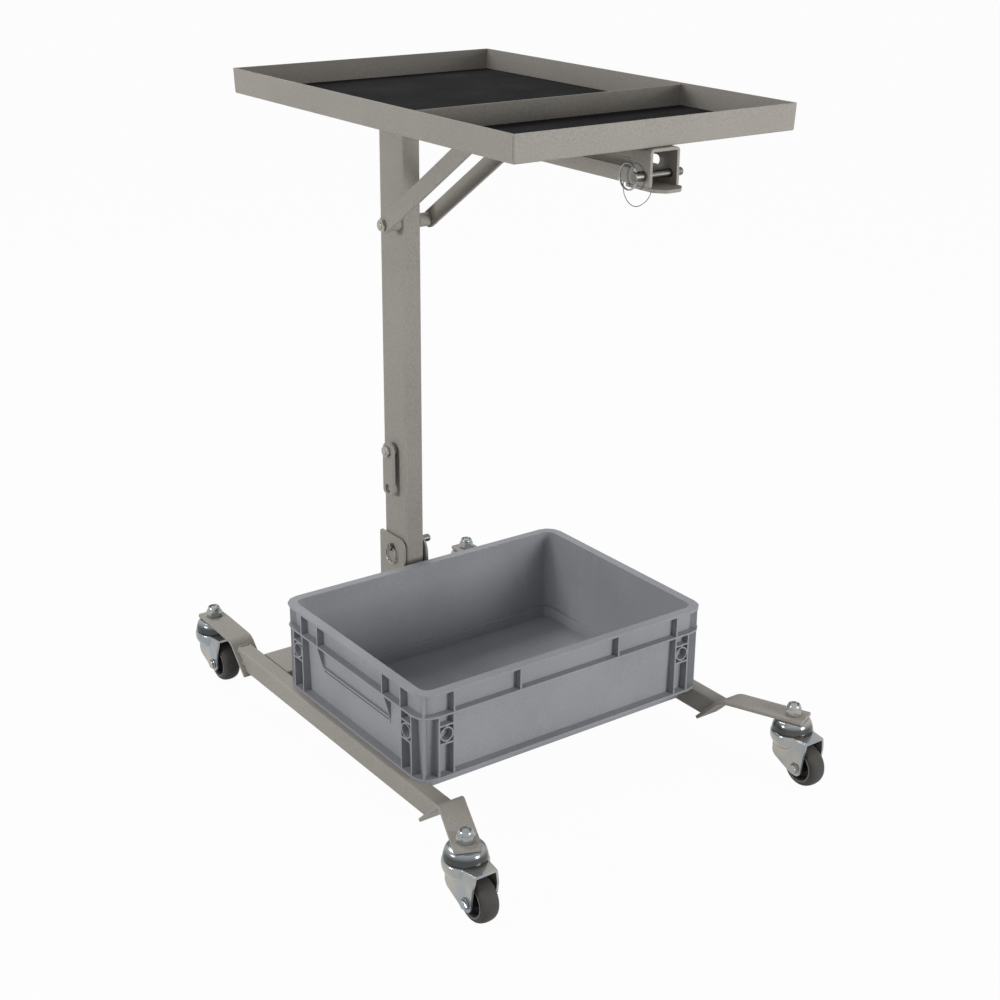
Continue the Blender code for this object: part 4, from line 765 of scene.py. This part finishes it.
def make_bracket(sizes):
    """Two rounded cheeks, a stop web and a foot plate, with the weld beads along the cheeks."""
    left_ahead, web_drop, foot = 0.001, 0.0205, 0.005
    low, high = corners("mast_bracket")
    plate = sizes.cheek_sheet
    left_front = max(low.y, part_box("mast_tube")[0][1] - left_ahead)
    right_front = low.y + sizes.seat
    made = block((high.x - plate, right_front, low.z), high)
    other = block((low.x, left_front, low.z), (low.x + plate, high.y, high.z))
    for cheek, front, turn in ((made, right_front, sizes.cheek_round * 2), (other, left_front, sizes.cheek_round)):
        top = runs(0, lambda place: place.z > high.z - TINY and place.y < front + TINY)
        round_edges(cheek, top, turn, 16)
        top = runs(0, lambda place: place.z > high.z - TINY and place.y > high.y - TINY)
        round_edges(cheek, top, sizes.cheek_back, 5)
    web_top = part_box("fold_pin")[0][2] - web_drop
    overlap = plate / 2
    web = block((low.x + overlap, high.y - plate, low.z + overlap), (high.x - overlap, high.y - sizes.seat, web_top))
    floor = block((low.x + overlap, low.y + sizes.seat, low.z + sizes.seat),
                  (high.x - overlap, high.y - overlap, low.z + foot))
    fuse(made, other, web, floor)
    ease(made, sizes.edge)
    finished(made, "mast_bracket_plates", "base", "paint", "mast_bracket")
    z = low.z + sizes.bead * 0.35
    for side, x in (("left", low.x - sizes.bead * 0.3), ("right", high.x + sizes.bead * 0.3)):
        weld(bead((x, low.y + 0.004, z), (x, high.y - 0.003, z), sizes.bead), f"bracket_weld_{side}")


def weld(made, name):
    """Finish a weld bead of the base."""
    finished(made, name, "base", "paint", angle=60)


def make_base_welds(sizes):
    """Spots down each mitre and a bead across its top, where the strips' tails meet the rails."""
    inset, spot_share = 0.002, 0.16
    size = sizes.bead * 0.8
    for side in SIDES:
        low, high = corners(f"{side}_rail")
        slope = high.z - low.z - 2 * inset
        for end, y, step in (("front", low.y, 1), ("rear", high.y, -1)):
            name = f"{side}_{end}_rail_weld"
            run = Vector((0, step * slope, -slope))
            for edge, x in (("a", low.x), ("b", high.x)):
                top = Vector((x, y + step * inset, high.z - inset))
                for spot, share in (("upper", 0.02), ("lower", 0.55)):
                    weld(bead(top + run * share, top + run * (share + spot_share), size), f"{name}_{edge}_{spot}")
            top = Vector((low.x + 0.003, y + step * 0.0002, high.z))
            weld(bead(top, top + Vector((high.x - low.x - 0.006, 0, 0)), size), f"{name}_top")


class WORKSTAND_OT_base(bpy.types.Operator):
    """Model the rails, the cross tube, the caster strips and the mast bracket"""

    bl_idname = "workstand.base"
    bl_label = "Base"

    def execute(self, context):
        sizes = context.scene.workstand_sizes
        make_rails(sizes)
        for side in SIDES:
            make_front_strip(sizes, side)
            make_rear_strip(sizes, side)
        make_bracket(sizes)
        make_base_welds(sizes)
        return {"FINISHED"}


# Casters


def make_cup(sizes, top, bottom, stem_top):
    """Raceway cup pressed over the fork, with the threaded stem on top and the kingpin below."""
    wide = sizes.cup_radius
    tall = top - bottom
    stem = sizes.stem_radius
    profile = [(stem * 0.8, stem_top), (stem, stem_top - 0.0008), (stem, top), (wide * 0.60, top)]
    for across, down in ((0.76, 0.03), (0.845, 0.10), (0.895, 0.21), (0.93, 0.36), (0.962, 0.54), (0.988, 0.72),
                         (1.0, 0.84), (1.0, 0.895), (0.985, 0.925), (0.93, 0.925), (0.93, 1.0)):
        profile.append((wide * across, top - tall * down))
    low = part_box("front_left_swivel_cup")[0][2]
    kingpin, head, rim = 0.0048, 0.0084, low + 0.0023
    profile += [(kingpin, bottom), (kingpin, rim), (head, rim), (0.0086, low + 0.0005), (0.0080, low)]
    return turned(profile, 64)


def make_fork(sizes):
    """Pressed fork: drawn crown that runs into broad cheeks, creased in front to a narrower hood."""
    low, high = corners("front_left_fork")
    centre = stem_place("front_left")
    top = high.z
    sheet = sizes.fork_sheet
    inner = sizes.wheel_half + sizes.cheek_gap
    out = inner + sheet
    axle = Vector((0, -sizes.trail, sizes.wheel_radius))
    front = low.y - centre.y
    boss, rear, clear = 0.0088, 0.0130, 0.02
    lean = Vector((0.977, -0.1417, 0.1583))
    hood, ceiling = top - 0.0004, top - sheet - 0.001
    made = block((-out, front, axle.z - boss), (out, rear, hood))
    hollow = block((-inner, front - clear, -clear), (inner, rear + clear, ceiling))
    bisect(made, (0, rear, axle.z + 0.0045), Vector((0, 0.40, -0.9165)))
    bisect(made, (0, front, top - 0.008), Vector((0, -0.9927, -0.1206)))
    for side in (-1, 1):
        plane = Vector((side * lean.x, lean.y, lean.z))
        corner = Vector((side * sizes.hood_half, front, top))
        bisect(made, corner, plane)
        bisect(hollow, corner - plane * sheet, plane)

    def along_hood(edge):
        return min(vertex.co.z for vertex in edge.verts) > hood - TINY and abs(middle(edge).x) > 0.01

    round_edges(made, lambda edge: 0.08 < edge.calc_face_angle(0) < 0.4, 0.0014, 4)
    round_edges(made, along_hood, 0.0016, 4)
    round_edges(made, runs(0, lambda place: place.z < axle.z + 0.0056), 0.0060, 8)
    wide = sizes.fork_radius
    drawn = [(0.88, 0), (0.945, 0.0005), (0.98, 0.0016), (1.0, 0.0038), (1.0, 0.0070), (0.985, 0.0098),
             (0.94, 0.0126), (0.87, 0.0152), (0.78, 0.0176), (0.69, 0.0198), (0.64, 0.0215)]
    fuse(made, turned([(wide * across, top - down) for across, down in drawn], 72))
    inside = [(max(wide * across - sheet, 0.01), top - down - sheet * (down < 0.004))
              for across, down in drawn[:-1]]
    cut(made, hollow, turned([*inside, (wide * 0.54, top - 0.06)], 56))
    drill(made, (axle.y, axle.z), 0.0033, reach=0.05)
    cut(made, rod((0, 0, top - clear), (0, 0, top + clear), 0.0052, 24))
    return ease(made, 0.0004, angle=40)


def make_axle(sizes):
    """Axle bolt with a hexagon and a washer at each end."""
    low, high = corners("front_left_axle_bolt")
    centre = stem_place("front_left")
    place = (-sizes.trail, sizes.wheel_radius)
    start, end = low.x - centre.x, high.x - centre.x
    head, flats, washer, proud = 0.0036, 0.0099, 0.0010, 0.00005
    made = rod((start + head * 0.5, *place), (end - head * 0.5, *place), 0.003, 24)
    first = settle(bolt_head(flats, head), Matrix.Translation((start + head, *place)) @ TO_LEFT)
    last = settle(bolt_head(flats, head), Matrix.Translation((end - head, *place)) @ TO_RIGHT)
    washers = [rod((x, *place), (x + washer, *place), 0.0066, 40, 0.0002)
               for x in (start + head - washer + proud, end - head - proud)]
    return fuse(made, first, last, *washers)


def mirrored(side):
    """A closed profile from its upper half."""
    return side + [(radius, -height) for radius, height in reversed(side) if height]


def make_hub(sizes):
    """Dished wheel core with a rim, a web and the bearing boss."""
    core = sizes.wheel_radius - sizes.tyre_depth
    half = sizes.wheel_half
    side = [(core, half * 0.84), (core * 0.90, half * 0.84), (core * 0.86, half * 0.70), (core * 0.82, half * 0.36),
            (core * 0.74, half * 0.30), (0.0082, half * 0.30), (0.0074, half * 0.42), (0.0070, half * 1.18),
            (0.0064, half * 1.21), (0.0033, half * 1.21)]
    return ring_of(mirrored(side), 48)


def make_tyre(sizes):
    """Tyre with a crowned tread, soft shoulders and a lip round each side."""
    inside = sizes.wheel_radius - sizes.tyre_depth + 0.0003
    out = sizes.wheel_radius
    half = sizes.wheel_half
    side = [(inside, half * 0.84), (inside + 0.0003, half * 0.96), (inside + 0.0009, half),
            (inside + 0.0014, half * 0.985), (inside + 0.0018, half * 0.93), (inside + 0.0026, half * 0.935),
            (out - 0.0042, half * 0.93), (out - 0.0030, half * 0.87), (out - 0.0019, half * 0.76),
            (out - 0.0010, half * 0.60), (out - 0.0004, half * 0.40), (out - 0.0001, half * 0.20), (out, 0.0)]
    return ring_of(mirrored(side), 72)


def make_lip(sizes):
    """The two thin rings where the tyre's sides meet the core."""
    inside = sizes.wheel_radius - sizes.tyre_depth + 0.0003
    half = sizes.wheel_half
    rings = []
    for side in (-1, 1):
        ring = [(-0.0006, 0.84), (-0.0007, 0.99), (-0.0002, 1.035), (0.0006, 1.035), (0.0010, 1.0), (0.0009, 0.84)]
        rings.append(ring_of([(inside + across, side * half * along) for across, along in ring], 64))
    only(rings[0])
    rings[1].select_set(True)
    bpy.ops.object.join()
    return rings[0]


class WORKSTAND_OT_casters(bpy.types.Operator):
    """Model one swivel caster and copy it to the four corners"""

    bl_idname = "workstand.casters"
    bl_label = "Casters"

    def execute(self, context):
        sizes = context.scene.workstand_sizes
        nut_low, nut_high = corners("front_left_stem_nut")
        cup_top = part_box("front_left_caster_strip")[1][2] - sizes.strip_sheet - sizes.seat
        cup_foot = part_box("front_left_fork")[1][2] + 0.0004
        collar = nut_high.z - nut_low.z - sizes.stem_hexagon
        stem_nut = nut(sizes.stem_flats, sizes.stem_hexagon, collar, sizes.stem_radius + sizes.seat)
        settle(stem_nut, Matrix.Translation((0, 0, nut_low.z)) @ Matrix.Rotation(math.radians(12), 4, "Z"))
        across = Matrix.Translation((0, -sizes.trail, sizes.wheel_radius)) @ Matrix.Rotation(math.pi / 2, 4, "Y")
        models = {
            "stem_nut": (stem_nut, "{}_lock_nut", "base", "zinc"),
            "swivel_cup": (make_cup(sizes, cup_top, cup_foot, nut_high.z - 0.0012), "{}_raceway_cup", "base", "zinc"),
            "fork": (make_fork(sizes), "{}_pressed_fork", "{}_caster", "zinc"),
            "axle_bolt": (make_axle(sizes), "{}_axle", "{}_caster", "zinc"),
            "hub": (settle(make_hub(sizes), across), "{}_wheel_core", "{}_wheel", "hub"),
            "tyre": (settle(make_tyre(sizes), across), "{}_tread", "{}_wheel", "tyre")}
        lip = settle(make_lip(sizes), across)
        for caster in CASTERS:
            made = copied(lip, Matrix.Translation(stem_place(caster)))
            # The lips take the finish with the painted highlight.
            finished(made, f"{caster}_tyre_lips", f"{caster}_wheel", "tyre", finish="tyre_lip")
        bpy.data.objects.remove(lip, do_unlink=True)
        for node, (model, name, body, slot) in models.items():
            for caster in CASTERS:
                made = copied(model, Matrix.Translation(stem_place(caster)))
                finished(made, name.format(caster), body.format(caster), slot, f"{caster}_{node}")
            bpy.data.objects.remove(model, do_unlink=True)
        return {"FINISHED"}


# Mast


def make_post(sizes):
    """The mast's tube, open at both ends, and its welded head."""
    made = block(*corners("mast_tube"))
    round_edges(made, runs(2), sizes.mast_round, 6)
    draw_ends(made, 2, sizes.tube_wall, -0.02)
    finished(made, "mast_post", "mast", "paint", "mast_tube")
    finished(ease(from_node("mast_head"), 0.0006), "mast_head_plate", "mast", "paint", "mast_head")


def make_braces(sizes):
    """Two flat braces between their pivot and the pin that slides in the channel, with their spacers."""
    pivot_low, pivot_high = corners("brace_pivot_nut")
    pivot = ((pivot_low + pivot_high) / 2).yz
    slide_low, slide_high = corners("brace_slide_pin")
    slide = ((slide_low + slide_high) / 2).yz
    hole = sizes.bolt_radius + sizes.seat
    for side in SIDES:
        low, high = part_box(f"{side}_brace")
        made = bar(pivot, slide, sizes.brace_width, low[0], high[0])
        for place in (pivot, slide):
            drill(made, place, hole)
        finished(ease(made, sizes.edge), f"{side}_stay", "braces", "paint", f"{side}_brace")
        low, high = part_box(f"{side}_brace_spacer")
        made = drill(rod((low[0], *pivot), (high[0], *pivot), (high[2] - low[2]) / 2, 40), pivot, hole)
        finished(made, f"{side}_stay_spacer", "mast", "paint", f"{side}_brace_spacer")
    made = rod((slide_low.x, *slide), (slide_high.x, *slide), sizes.bolt_radius, 32)
    finished(made, "stay_cross_pin", "slide_pin", "pin_steel", "brace_slide_pin")


def make_shank(sizes, start, end, place):
    """A bolt's shank along X with a rounded thread end."""
    return ease(rod((start + sizes.seat, *place), (end, *place), sizes.bolt_radius, 32), 0.0007)


def fit_nut(sizes, shank, x, height, place):
    """Fuse a lock nut to a bolt's thread end, on the left of a place along X."""
    made = nut(sizes.nut_flats, height * 0.8, 0, sizes.bolt_radius - sizes.seat / 2)
    return fuse(shank, settle(made, Matrix.Translation((x, *place)) @ TO_LEFT))


def make_bolt(sizes, name, bolt, fastener, body):
    """A bolt along X with a nut at each end."""
    head = 0.0055
    low, high = corners(bolt)
    nut_low, nut_high = corners(fastener)
    place = side_middle(fastener)
    made = fit_nut(sizes, make_shank(sizes, low.x, high.x, place), low.x + head, head, place)
    finished(made, f"{name}_bolt", body, "zinc", bolt)
    made = nut(sizes.nut_flats, nut_high.x - nut_low.x, 0, sizes.bolt_radius + sizes.seat)
    settle(made, Matrix.Translation((nut_low.x, *place)) @ TO_RIGHT)
    finished(made, f"{name}_nut", body, "zinc", fastener)


def make_link(sizes):
    """The folding link on its bolt, which runs through the mast."""
    low, high = corners("folding_link")
    bolt_low, bolt_high = corners("link_bolt")
    half = sizes.link_width / 2
    middle_y = (low.y + high.y) / 2
    top, foot = (middle_y, (bolt_low.z + bolt_high.z) / 2), (middle_y, low.z + sizes.link_end)
    made = block(low, (high.x, high.y, top[1] + half))
    round_edges(made, runs(0, lambda place: place.z > top[1]), half * 0.9999, 14)
    round_edges(made, runs(0, lambda place: place.z < low.z + TINY), sizes.link_corner, 8)
    drill(made, foot, sizes.link_hole, 40)
    drill(made, top, 0.0043)
    finished(ease(made, sizes.edge), "folding_link_bar", "link", "paint", "folding_link")

    link_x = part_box("folding_link")[0][0] - sizes.seat
    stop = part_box("mast_tube")[1][0] + sizes.seat
    made = make_shank(sizes, bolt_low.x, bolt_high.x - 0.003, top)
    fit_nut(sizes, made, link_x, link_x - bolt_low.x, top)
    head = bolt_head(sizes.nut_flats, bolt_high.x - stop)
    fuse(made, settle(head, Matrix.Translation((stop, *top)) @ TO_RIGHT))
    collar = rod((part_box("folding_link")[1][0] + sizes.seat, *top), (-stop, *top), 0.00825, 40)
    finished(fuse(made, collar), "link_pivot_bolt", "mast", "zinc", "link_bolt")


class WORKSTAND_OT_mast(bpy.types.Operator):
    """Model the mast, its head, the braces, the folding link and their bolts"""

    bl_idname = "workstand.mast"
    bl_label = "Mast"

    def execute(self, context):
        sizes = context.scene.workstand_sizes
        make_post(sizes)
        make_braces(sizes)
        make_bolt(sizes, "stay_pivot", "brace_pivot_bolt", "brace_pivot_nut", "mast")
        make_bolt(sizes, "tray_hinge", "hinge_bolt", "hinge_nut", "tray")
        make_link(sizes)
        return {"FINISHED"}


# Tray


def make_tray_pan(sizes):
    """Folded sheet with four leaning walls, lapped at the front corners."""
    low, high = corners("tray_pan")
    lean = Vector((sizes.tray_flare, sizes.tray_flare, 0))
    rim = high.z - 0.0001
    made = block(low + lean, (high.x - lean.x, high.y - lean.y, rim))
    pick(made, "faces", faces_to(2, 1))
    size = high - low
    spread = (size.x / (size.x - 2 * lean.x), size.y / (size.y - 2 * lean.y), 1)
    bpy.ops.transform.resize(value=spread, center_override=(low + high) / 2)
    bpy.ops.mesh.delete(type="FACE")
    leave()
    round_edges(made, lambda edge: min(v.co.z for v in edge.verts) < low.z + TINY, sizes.tray_bend, 4)
    thicken(made, sizes.tray_sheet)
    ease(made, 0.0003, angle=50)
    finished(made, "tray_sheet", "tray", "paint", "tray_pan")
    rise = lean.x / size.z
    foot, top, lap, proud = 0.004, size.z - 0.0012, 0.016, 0.0005
    for side, name in ((-1, "left"), (1, "right")):
        x, y = high.x - lean.x + rise * foot, low.y + lean.y - rise * foot
        made = block((x - proud, y + sizes.tray_sheet, low.z + foot), (x + proud, y + lap, low.z + top))
        pick(made, "verts", lambda vertex: vertex.co.z > low.z + top - TINY)
        bpy.ops.transform.translate(value=(rise * (top - foot), -rise * (top - foot), 0))
        leave()
        settle(made, Matrix.Diagonal((side, 1, 1, 1)))
        finished(ease(made, 0.0002, 1), f"tray_lap_{name}", "tray", "paint")


def make_mat(sizes, node):
    """Rubber lining with fine ribs from front to back."""
    low, high = corners(node)
    count = round((high.x - low.x) / sizes.mat_pitch)
    steps = 4 * count
    bpy.ops.object.select_all(action="DESELECT")
    bpy.ops.mesh.primitive_grid_add(x_subdivisions=steps, y_subdivisions=1, size=1)
    made = bpy.context.object
    made.scale = (high.x - low.x, high.y - low.y, 1)
    settle(made, Matrix.Translation(((low.x + high.x) / 2, (low.y + high.y) / 2, high.z)))
    step = (high.x - low.x) / steps
    pick(made, "verts", lambda vertex: round((vertex.co.x - low.x) / step) % 4 in (0, 1))
    bpy.ops.transform.translate(value=(0, 0, -sizes.mat_rib))
    bpy.ops.mesh.select_all(action="SELECT")
    bpy.ops.mesh.select_mode(type="FACE")
    bpy.ops.mesh.extrude_region_move(TRANSFORM_OT_translate={"value": (0, 0, low.z - high.z)})
    bpy.ops.transform.resize(value=(1, 1, 0), center_override=(0, 0, low.z))
    leave()
    finished(made, f"{node}_lining", "tray", "mat_rubber", node, angle=50)


def make_channel(sizes):
    """Folded channel with long slots, hinge ears and the front tab."""
    ear, hole, slot_start = 0.020, 0.0043, 0.030
    low, high = corners("tray_channel")
    hinge = side_middle("hinge_nut")
    tab_low, tab_high = corners("channel_front_tab")
    made = block((low.x, low.y, tab_high.z + sizes.seat), high)
    pick(made, "faces", lambda face: face.normal.z < -0.9 or abs(face.normal.y) > 0.9)
    bpy.ops.mesh.delete(type="FACE")
    leave()
    round_edges(made, runs(1, lambda place: place.z > high.z - TINY), sizes.channel_round, 6)
    thicken(made, sizes.channel_wall)
    skin = sizes.seat / 3
    for start, end in ((low.x + skin, low.x + sizes.channel_wall - skin),
                       (high.x - sizes.channel_wall + skin, high.x - skin)):
        fuse(made, bar((hinge[0], hinge[1] + 0.008), hinge, ear, start, end, 12))
    slide_y, slide_z = side_middle("brace_slide_pin")
    cut(made, bar((low.y + slot_start, slide_z), (slide_y + 0.001, slide_z), sizes.slot_height, -0.05, 0.05, 10))
    for place in (side_middle("lock_pin"), hinge):
        drill(made, place, hole, 32, 0.05)
    ease(made, sizes.edge)
    finished(made, "channel_rail", "tray", "paint", "tray_channel")

    made = block(tab_low, tab_high)
    bevel, corner = 0.0100, 0.0022
    round_edges(made, runs(2, lambda place: place.y < tab_low.y + TINY), bevel, 1)
    round_edges(made, runs(2, lambda place: place.y < tab_low.y + 2 * bevel), corner, 4)
    ease(made, sizes.edge)
    finished(made, "channel_tab", "tray", "paint", "channel_front_tab")


class WORKSTAND_OT_tray(bpy.types.Operator):
    """Model the tray, its divider and linings, and the channel under it"""

    bl_idname = "workstand.tray"
    bl_label = "Tray"

    def execute(self, context):
        sizes = context.scene.workstand_sizes
        make_tray_pan(sizes)
        low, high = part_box("tray_divider")
        made = block(low, high)
        round_edges(made, runs(0, lambda place: place.z > high[2] - TINY), 0.0006, 3)
        finished(made, "divider_sheet", "tray", "paint", "tray_divider")
        make_mat(sizes, "front_mat")
        make_mat(sizes, "rear_mat")
        make_channel(sizes)
        return {"FINISHED"}


# Pins


def make_pin(node, hole, head_end, shank=None, longer=0):
    """A drawn pin along X with a rounded tip and, along the hole vector, a cross hole in its head."""
    low, high = corners(node)
    y, z = side_middle(node)
    head = min((high.z - low.z) / 2, 0.0048)
    shank = shank or head
    long = high.x - low.x + longer
    neck = head_end - low.x
    profile = [(head - 0.0009, 0), (head - 0.0003, 0.0003), (head, 0.0009), (head, neck - 0.0004),
               (head - 0.0003, neck)]
    if shank < head:
        profile += [(shank, neck), (shank, neck + 0.0004)]
    profile += [(shank, long - 0.0018), (shank - 0.0005, long - 0.0008), (shank - 0.0014, long)]
    made = settle(turned(profile, 40), Matrix.Translation((low.x, y, z)) @ Matrix.Rotation(math.pi / 2, 4, "Y"))
    place = Vector((low.x + 0.00355, y, z))
    cut(made, rod(place - hole, place + hole, 0.0023, 24))
    finished(made, f"{node}_shank", node, "pin_steel", node)
    return place


def make_split_ring(sizes, node, name, body):
    """A sprung split ring of two close coils in the YZ plane."""
    low, high = corners(node)
    place = (low + high) / 2
    radius = (high.z - low.z) / 2 - 0.0011
    turns, steps, pitch = 2.0, 112, sizes.split_wire * 1.04
    points = []
    for i in range(steps + 1):
        share = i / steps
        angle = 2 * math.pi * turns * share + math.radians(200)
        points.append((place.x + (share - 0.5) * pitch, place.y + radius * math.cos(angle),
                       place.z + radius * math.sin(angle)))
    finished(wire(points, sizes.split_wire / 2), name, body, "pin_steel", node, angle=70, finish="zinc")


def make_keeper(channel_x, lock):
    """A thin wire loop from the channel's wall to the lock pin's ring."""
    radius, start, sweep, steps, crossing = 0.0170, 184, 188, 48, 0.35
    start_x, end_x = channel_x - 0.0008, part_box("lock_pin_ring")[1][0] + 0.0008
    points = []
    for i in range(steps + 1):
        share = i / steps
        angle = math.radians(start + sweep * share)
        run = min(share / crossing, 1)
        points.append((start_x + (end_x - start_x) * run * run * (3 - 2 * run),
                       lock.y + 0.0040 + radius * math.cos(angle), lock.z - 0.0115 + radius * math.sin(angle)))
    finished(wire(points, 0.00042), "keeper_wire_loop", "tray", "pin_steel", "keeper_wire", angle=70)


class WORKSTAND_OT_pins(bpy.types.Operator):
    """Model the fold pin, the lock pin, their split rings and the keeper wire"""

    bl_idname = "workstand.pins"
    bl_label = "Pins"

    def execute(self, context):
        sizes = context.scene.workstand_sizes
        channel_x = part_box("tray_channel")[0][0]
        make_pin("fold_pin", Vector((0, 0.02, 0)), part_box("mast_bracket")[0][0] - sizes.seat, longer=0.004)
        lock = make_pin("lock_pin", Vector((0, 0, 0.02)), channel_x - sizes.seat, shank=0.004)
        make_split_ring(sizes, "fold_pin_ring", "fold_ring_coil", "fold_ring")
        make_split_ring(sizes, "lock_pin_ring", "lock_ring_coil", "lock_ring")
        make_keeper(channel_x, lock)
        return {"FINISHED"}


# Container


def level_grip(sizes, made, end, wall, band, middle_y):
    """Press the scooped grip of the solid's copy flat, first its outer face and then its inner one."""
    split, deep, half, above, below = 0.0142, 0.02, 0.08, 0.02, 0.045
    inner_wall = wall - sizes.box_wall
    for inside, outside, plane in ((wall - split, inner_wall - sizes.box_draft - 0.001, wall - 0.0007),
                                   (wall - deep, wall - split, inner_wall - 0.0007)):
        pick(made, "verts", lambda vertex: inside < end * vertex.co.x < outside
             and abs(vertex.co.y - middle_y) < half and band - below < vertex.co.z < band + above)
        bpy.ops.transform.resize(value=(sizes.grip_share, 1, 1), center_override=(end * plane, middle_y, 0))
        leave()


def make_grip(sizes, end, name, wall, band, middle_y):
    """A ledge and two tapered webs under the rim band, which serve as a grip."""
    foot, web_half = band - sizes.grip_height, 0.0009
    front, rear = middle_y - sizes.grip_half, middle_y + sizes.grip_half
    made = block((wall - 0.0035, front, foot - 0.0012), (wall + 0.0004, rear, foot + 0.0008))
    for y in (front, rear):
        web = block((wall - 0.0025, y - web_half, foot),
                    (wall + sizes.box_rim - 0.0011, y + web_half, band + 0.0005))
        pick(web, "verts", lambda vertex: vertex.co.z < foot + TINY and vertex.co.x > wall)
        bpy.ops.transform.translate(value=(0.0005 - sizes.box_rim, 0, 0))
        leave()
        fuse(made, web)
    settle(ease(made, 0.0003), Matrix.Diagonal((end, 1, 1, 1)))
    finished(made, f"container_grip_{name}", "box", "box_plastic")


class WORKSTAND_OT_box(bpy.types.Operator):
    """Model the grey stacking container"""

    bl_idname = "workstand.box"
    bl_label = "Container"

    def execute(self, context):
        sizes = context.scene.workstand_sizes
        made = from_node("storage_box")
        low, high = corners("storage_box")
        place = (high.x - sizes.box_rim, high.z - sizes.box_band, (low.y + high.y) / 2)
        for end, name in ((-1, "left"), (1, "right")):
            level_grip(sizes, made, end, *place)
            make_grip(sizes, end, name, *place)
        pick(made, "faces", every)
        bpy.ops.mesh.quads_convert_to_tris(quad_method="BEAUTY", ngon_method="BEAUTY")
        leave()
        finished(ease(made, 0.0005, angle=40), "stacking_container", "box", "box_plastic", "storage_box")
        return {"FINISHED"}


# Stage


def lamp(name, azimuth, elevation, distance, size, power):
    """A square soft light that looks at the middle of the stand."""
    aim = Vector((0, 0, 0.40))
    turn, rise = math.radians(azimuth), math.radians(elevation)
    away = Vector((math.cos(turn) * math.cos(rise), math.sin(turn) * math.cos(rise), math.sin(rise)))
    bpy.ops.object.light_add(type="AREA", location=aim + away * distance)
    made = bpy.context.object
    made.name = name
    made.data.energy = power
    made.data.size = size
    made.rotation_euler = away.to_track_quat("Z", "Y").to_euler()
    return made


class WORKSTAND_OT_stage(bpy.types.Operator):
    """Set up the pale floor, the studio light and the camera"""

    bl_idname = "workstand.stage"
    bl_label = "Stage"

    def execute(self, context):
        scene = context.scene
        colours = scene.workstand_colours
        bpy.ops.object.select_all(action="DESELECT")
        bpy.ops.mesh.primitive_plane_add(size=40, location=(0, 0, -0.0005))
        floor = context.object
        floor.name = "studio_floor"
        settle(floor)
        pick(floor, "faces", every)
        bpy.ops.mesh.subdivide(number_cuts=3)
        leave()
        material = bpy.data.materials.new("studio_floor")
        nodes = Nodes(material)
        shader = nodes.tree.nodes["Principled BSDF"]
        shader.inputs["Base Color"].default_value = (*colours.floor, 1)
        shader.inputs["Roughness"].default_value = 0.9
        nodes.white_when_seen(shader, nodes.node("ShaderNodeEmission", {}, {}), 0.97, "Material Output")
        floor.data.materials.append(material)

        scene.world = bpy.data.worlds.new("studio")
        nodes = Nodes(scene.world)
        ambient = nodes.tree.nodes["Background"]
        ambient.inputs["Color"].default_value = (1, 1, 1, 1)
        ambient.inputs["Strength"].default_value = 0.30
        white = nodes.node("ShaderNodeBackground", {}, {"Color": (1, 1, 1, 1)})
        nodes.white_when_seen(ambient, white, 1.0, "World Output")

        lamp("left_softbox", 172, 14, 2.3, 0.5, 22)
        lamp("front_softbox", -70, 7, 2.4, 0.7, 30)
        lamp("rear_softbox", 84, 52, 2.4, 1.0, 26)

        bpy.ops.object.camera_add(location=(-1.0513366, -1.4851368, 1.0184637))
        camera = context.object
        camera.name = "photo_camera"
        azimuth, elevation, roll = (math.radians(angle) for angle in (-35.90664, 90 - 21.56468, 0.50522))
        turn = Matrix.Rotation(azimuth, 4, "Z") @ Matrix.Rotation(elevation, 4, "X") @ Matrix.Rotation(roll, 4, "Z")
        camera.rotation_euler = turn.to_euler()
        camera.data.sensor_width = 36
        camera.data.lens = 60.714
        scene.camera = camera
        scene.view_settings.view_transform = "Standard"
        return {"FINISHED"}


class WORKSTAND_PT_panel(bpy.types.Panel):
    """Sizes, colours and steps of the workstand"""

    bl_idname = "WORKSTAND_PT_panel"
    bl_label = "Workstand"
    bl_space_type = "VIEW_3D"
    bl_region_type = "UI"
    bl_category = "Workstand"

    def draw(self, context):
        for group in (context.scene.workstand_sizes, context.scene.workstand_colours):
            column = self.layout.column(align=True)
            for key in group.__annotations__:
                column.prop(group, key)
        for step in STEPS:
            self.layout.operator(step.bl_idname)


STEPS = (WORKSTAND_OT_stage, WORKSTAND_OT_base, WORKSTAND_OT_casters, WORKSTAND_OT_mast, WORKSTAND_OT_tray,
         WORKSTAND_OT_pins, WORKSTAND_OT_box)
CLASSES = (WorkstandSizes, WorkstandColours, *STEPS, WORKSTAND_PT_panel)


def register():
    for item in CLASSES:
        bpy.utils.register_class(item)
    bpy.types.Scene.workstand_sizes = bpy.props.PointerProperty(type=WorkstandSizes)
    bpy.types.Scene.workstand_colours = bpy.props.PointerProperty(type=WorkstandColours)


def unregister():
    del bpy.types.Scene.workstand_colours
    del bpy.types.Scene.workstand_sizes
    for item in reversed(CLASSES):
        bpy.utils.unregister_class(item)


def main():
    """Register the add-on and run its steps."""
    register()
    make_finishes(bpy.context.scene.workstand_colours)
    for step in STEPS:
        group, name = step.bl_idname.split(".")
        getattr(getattr(bpy.ops, group), name)()


if __name__ == "__main__":
    main()
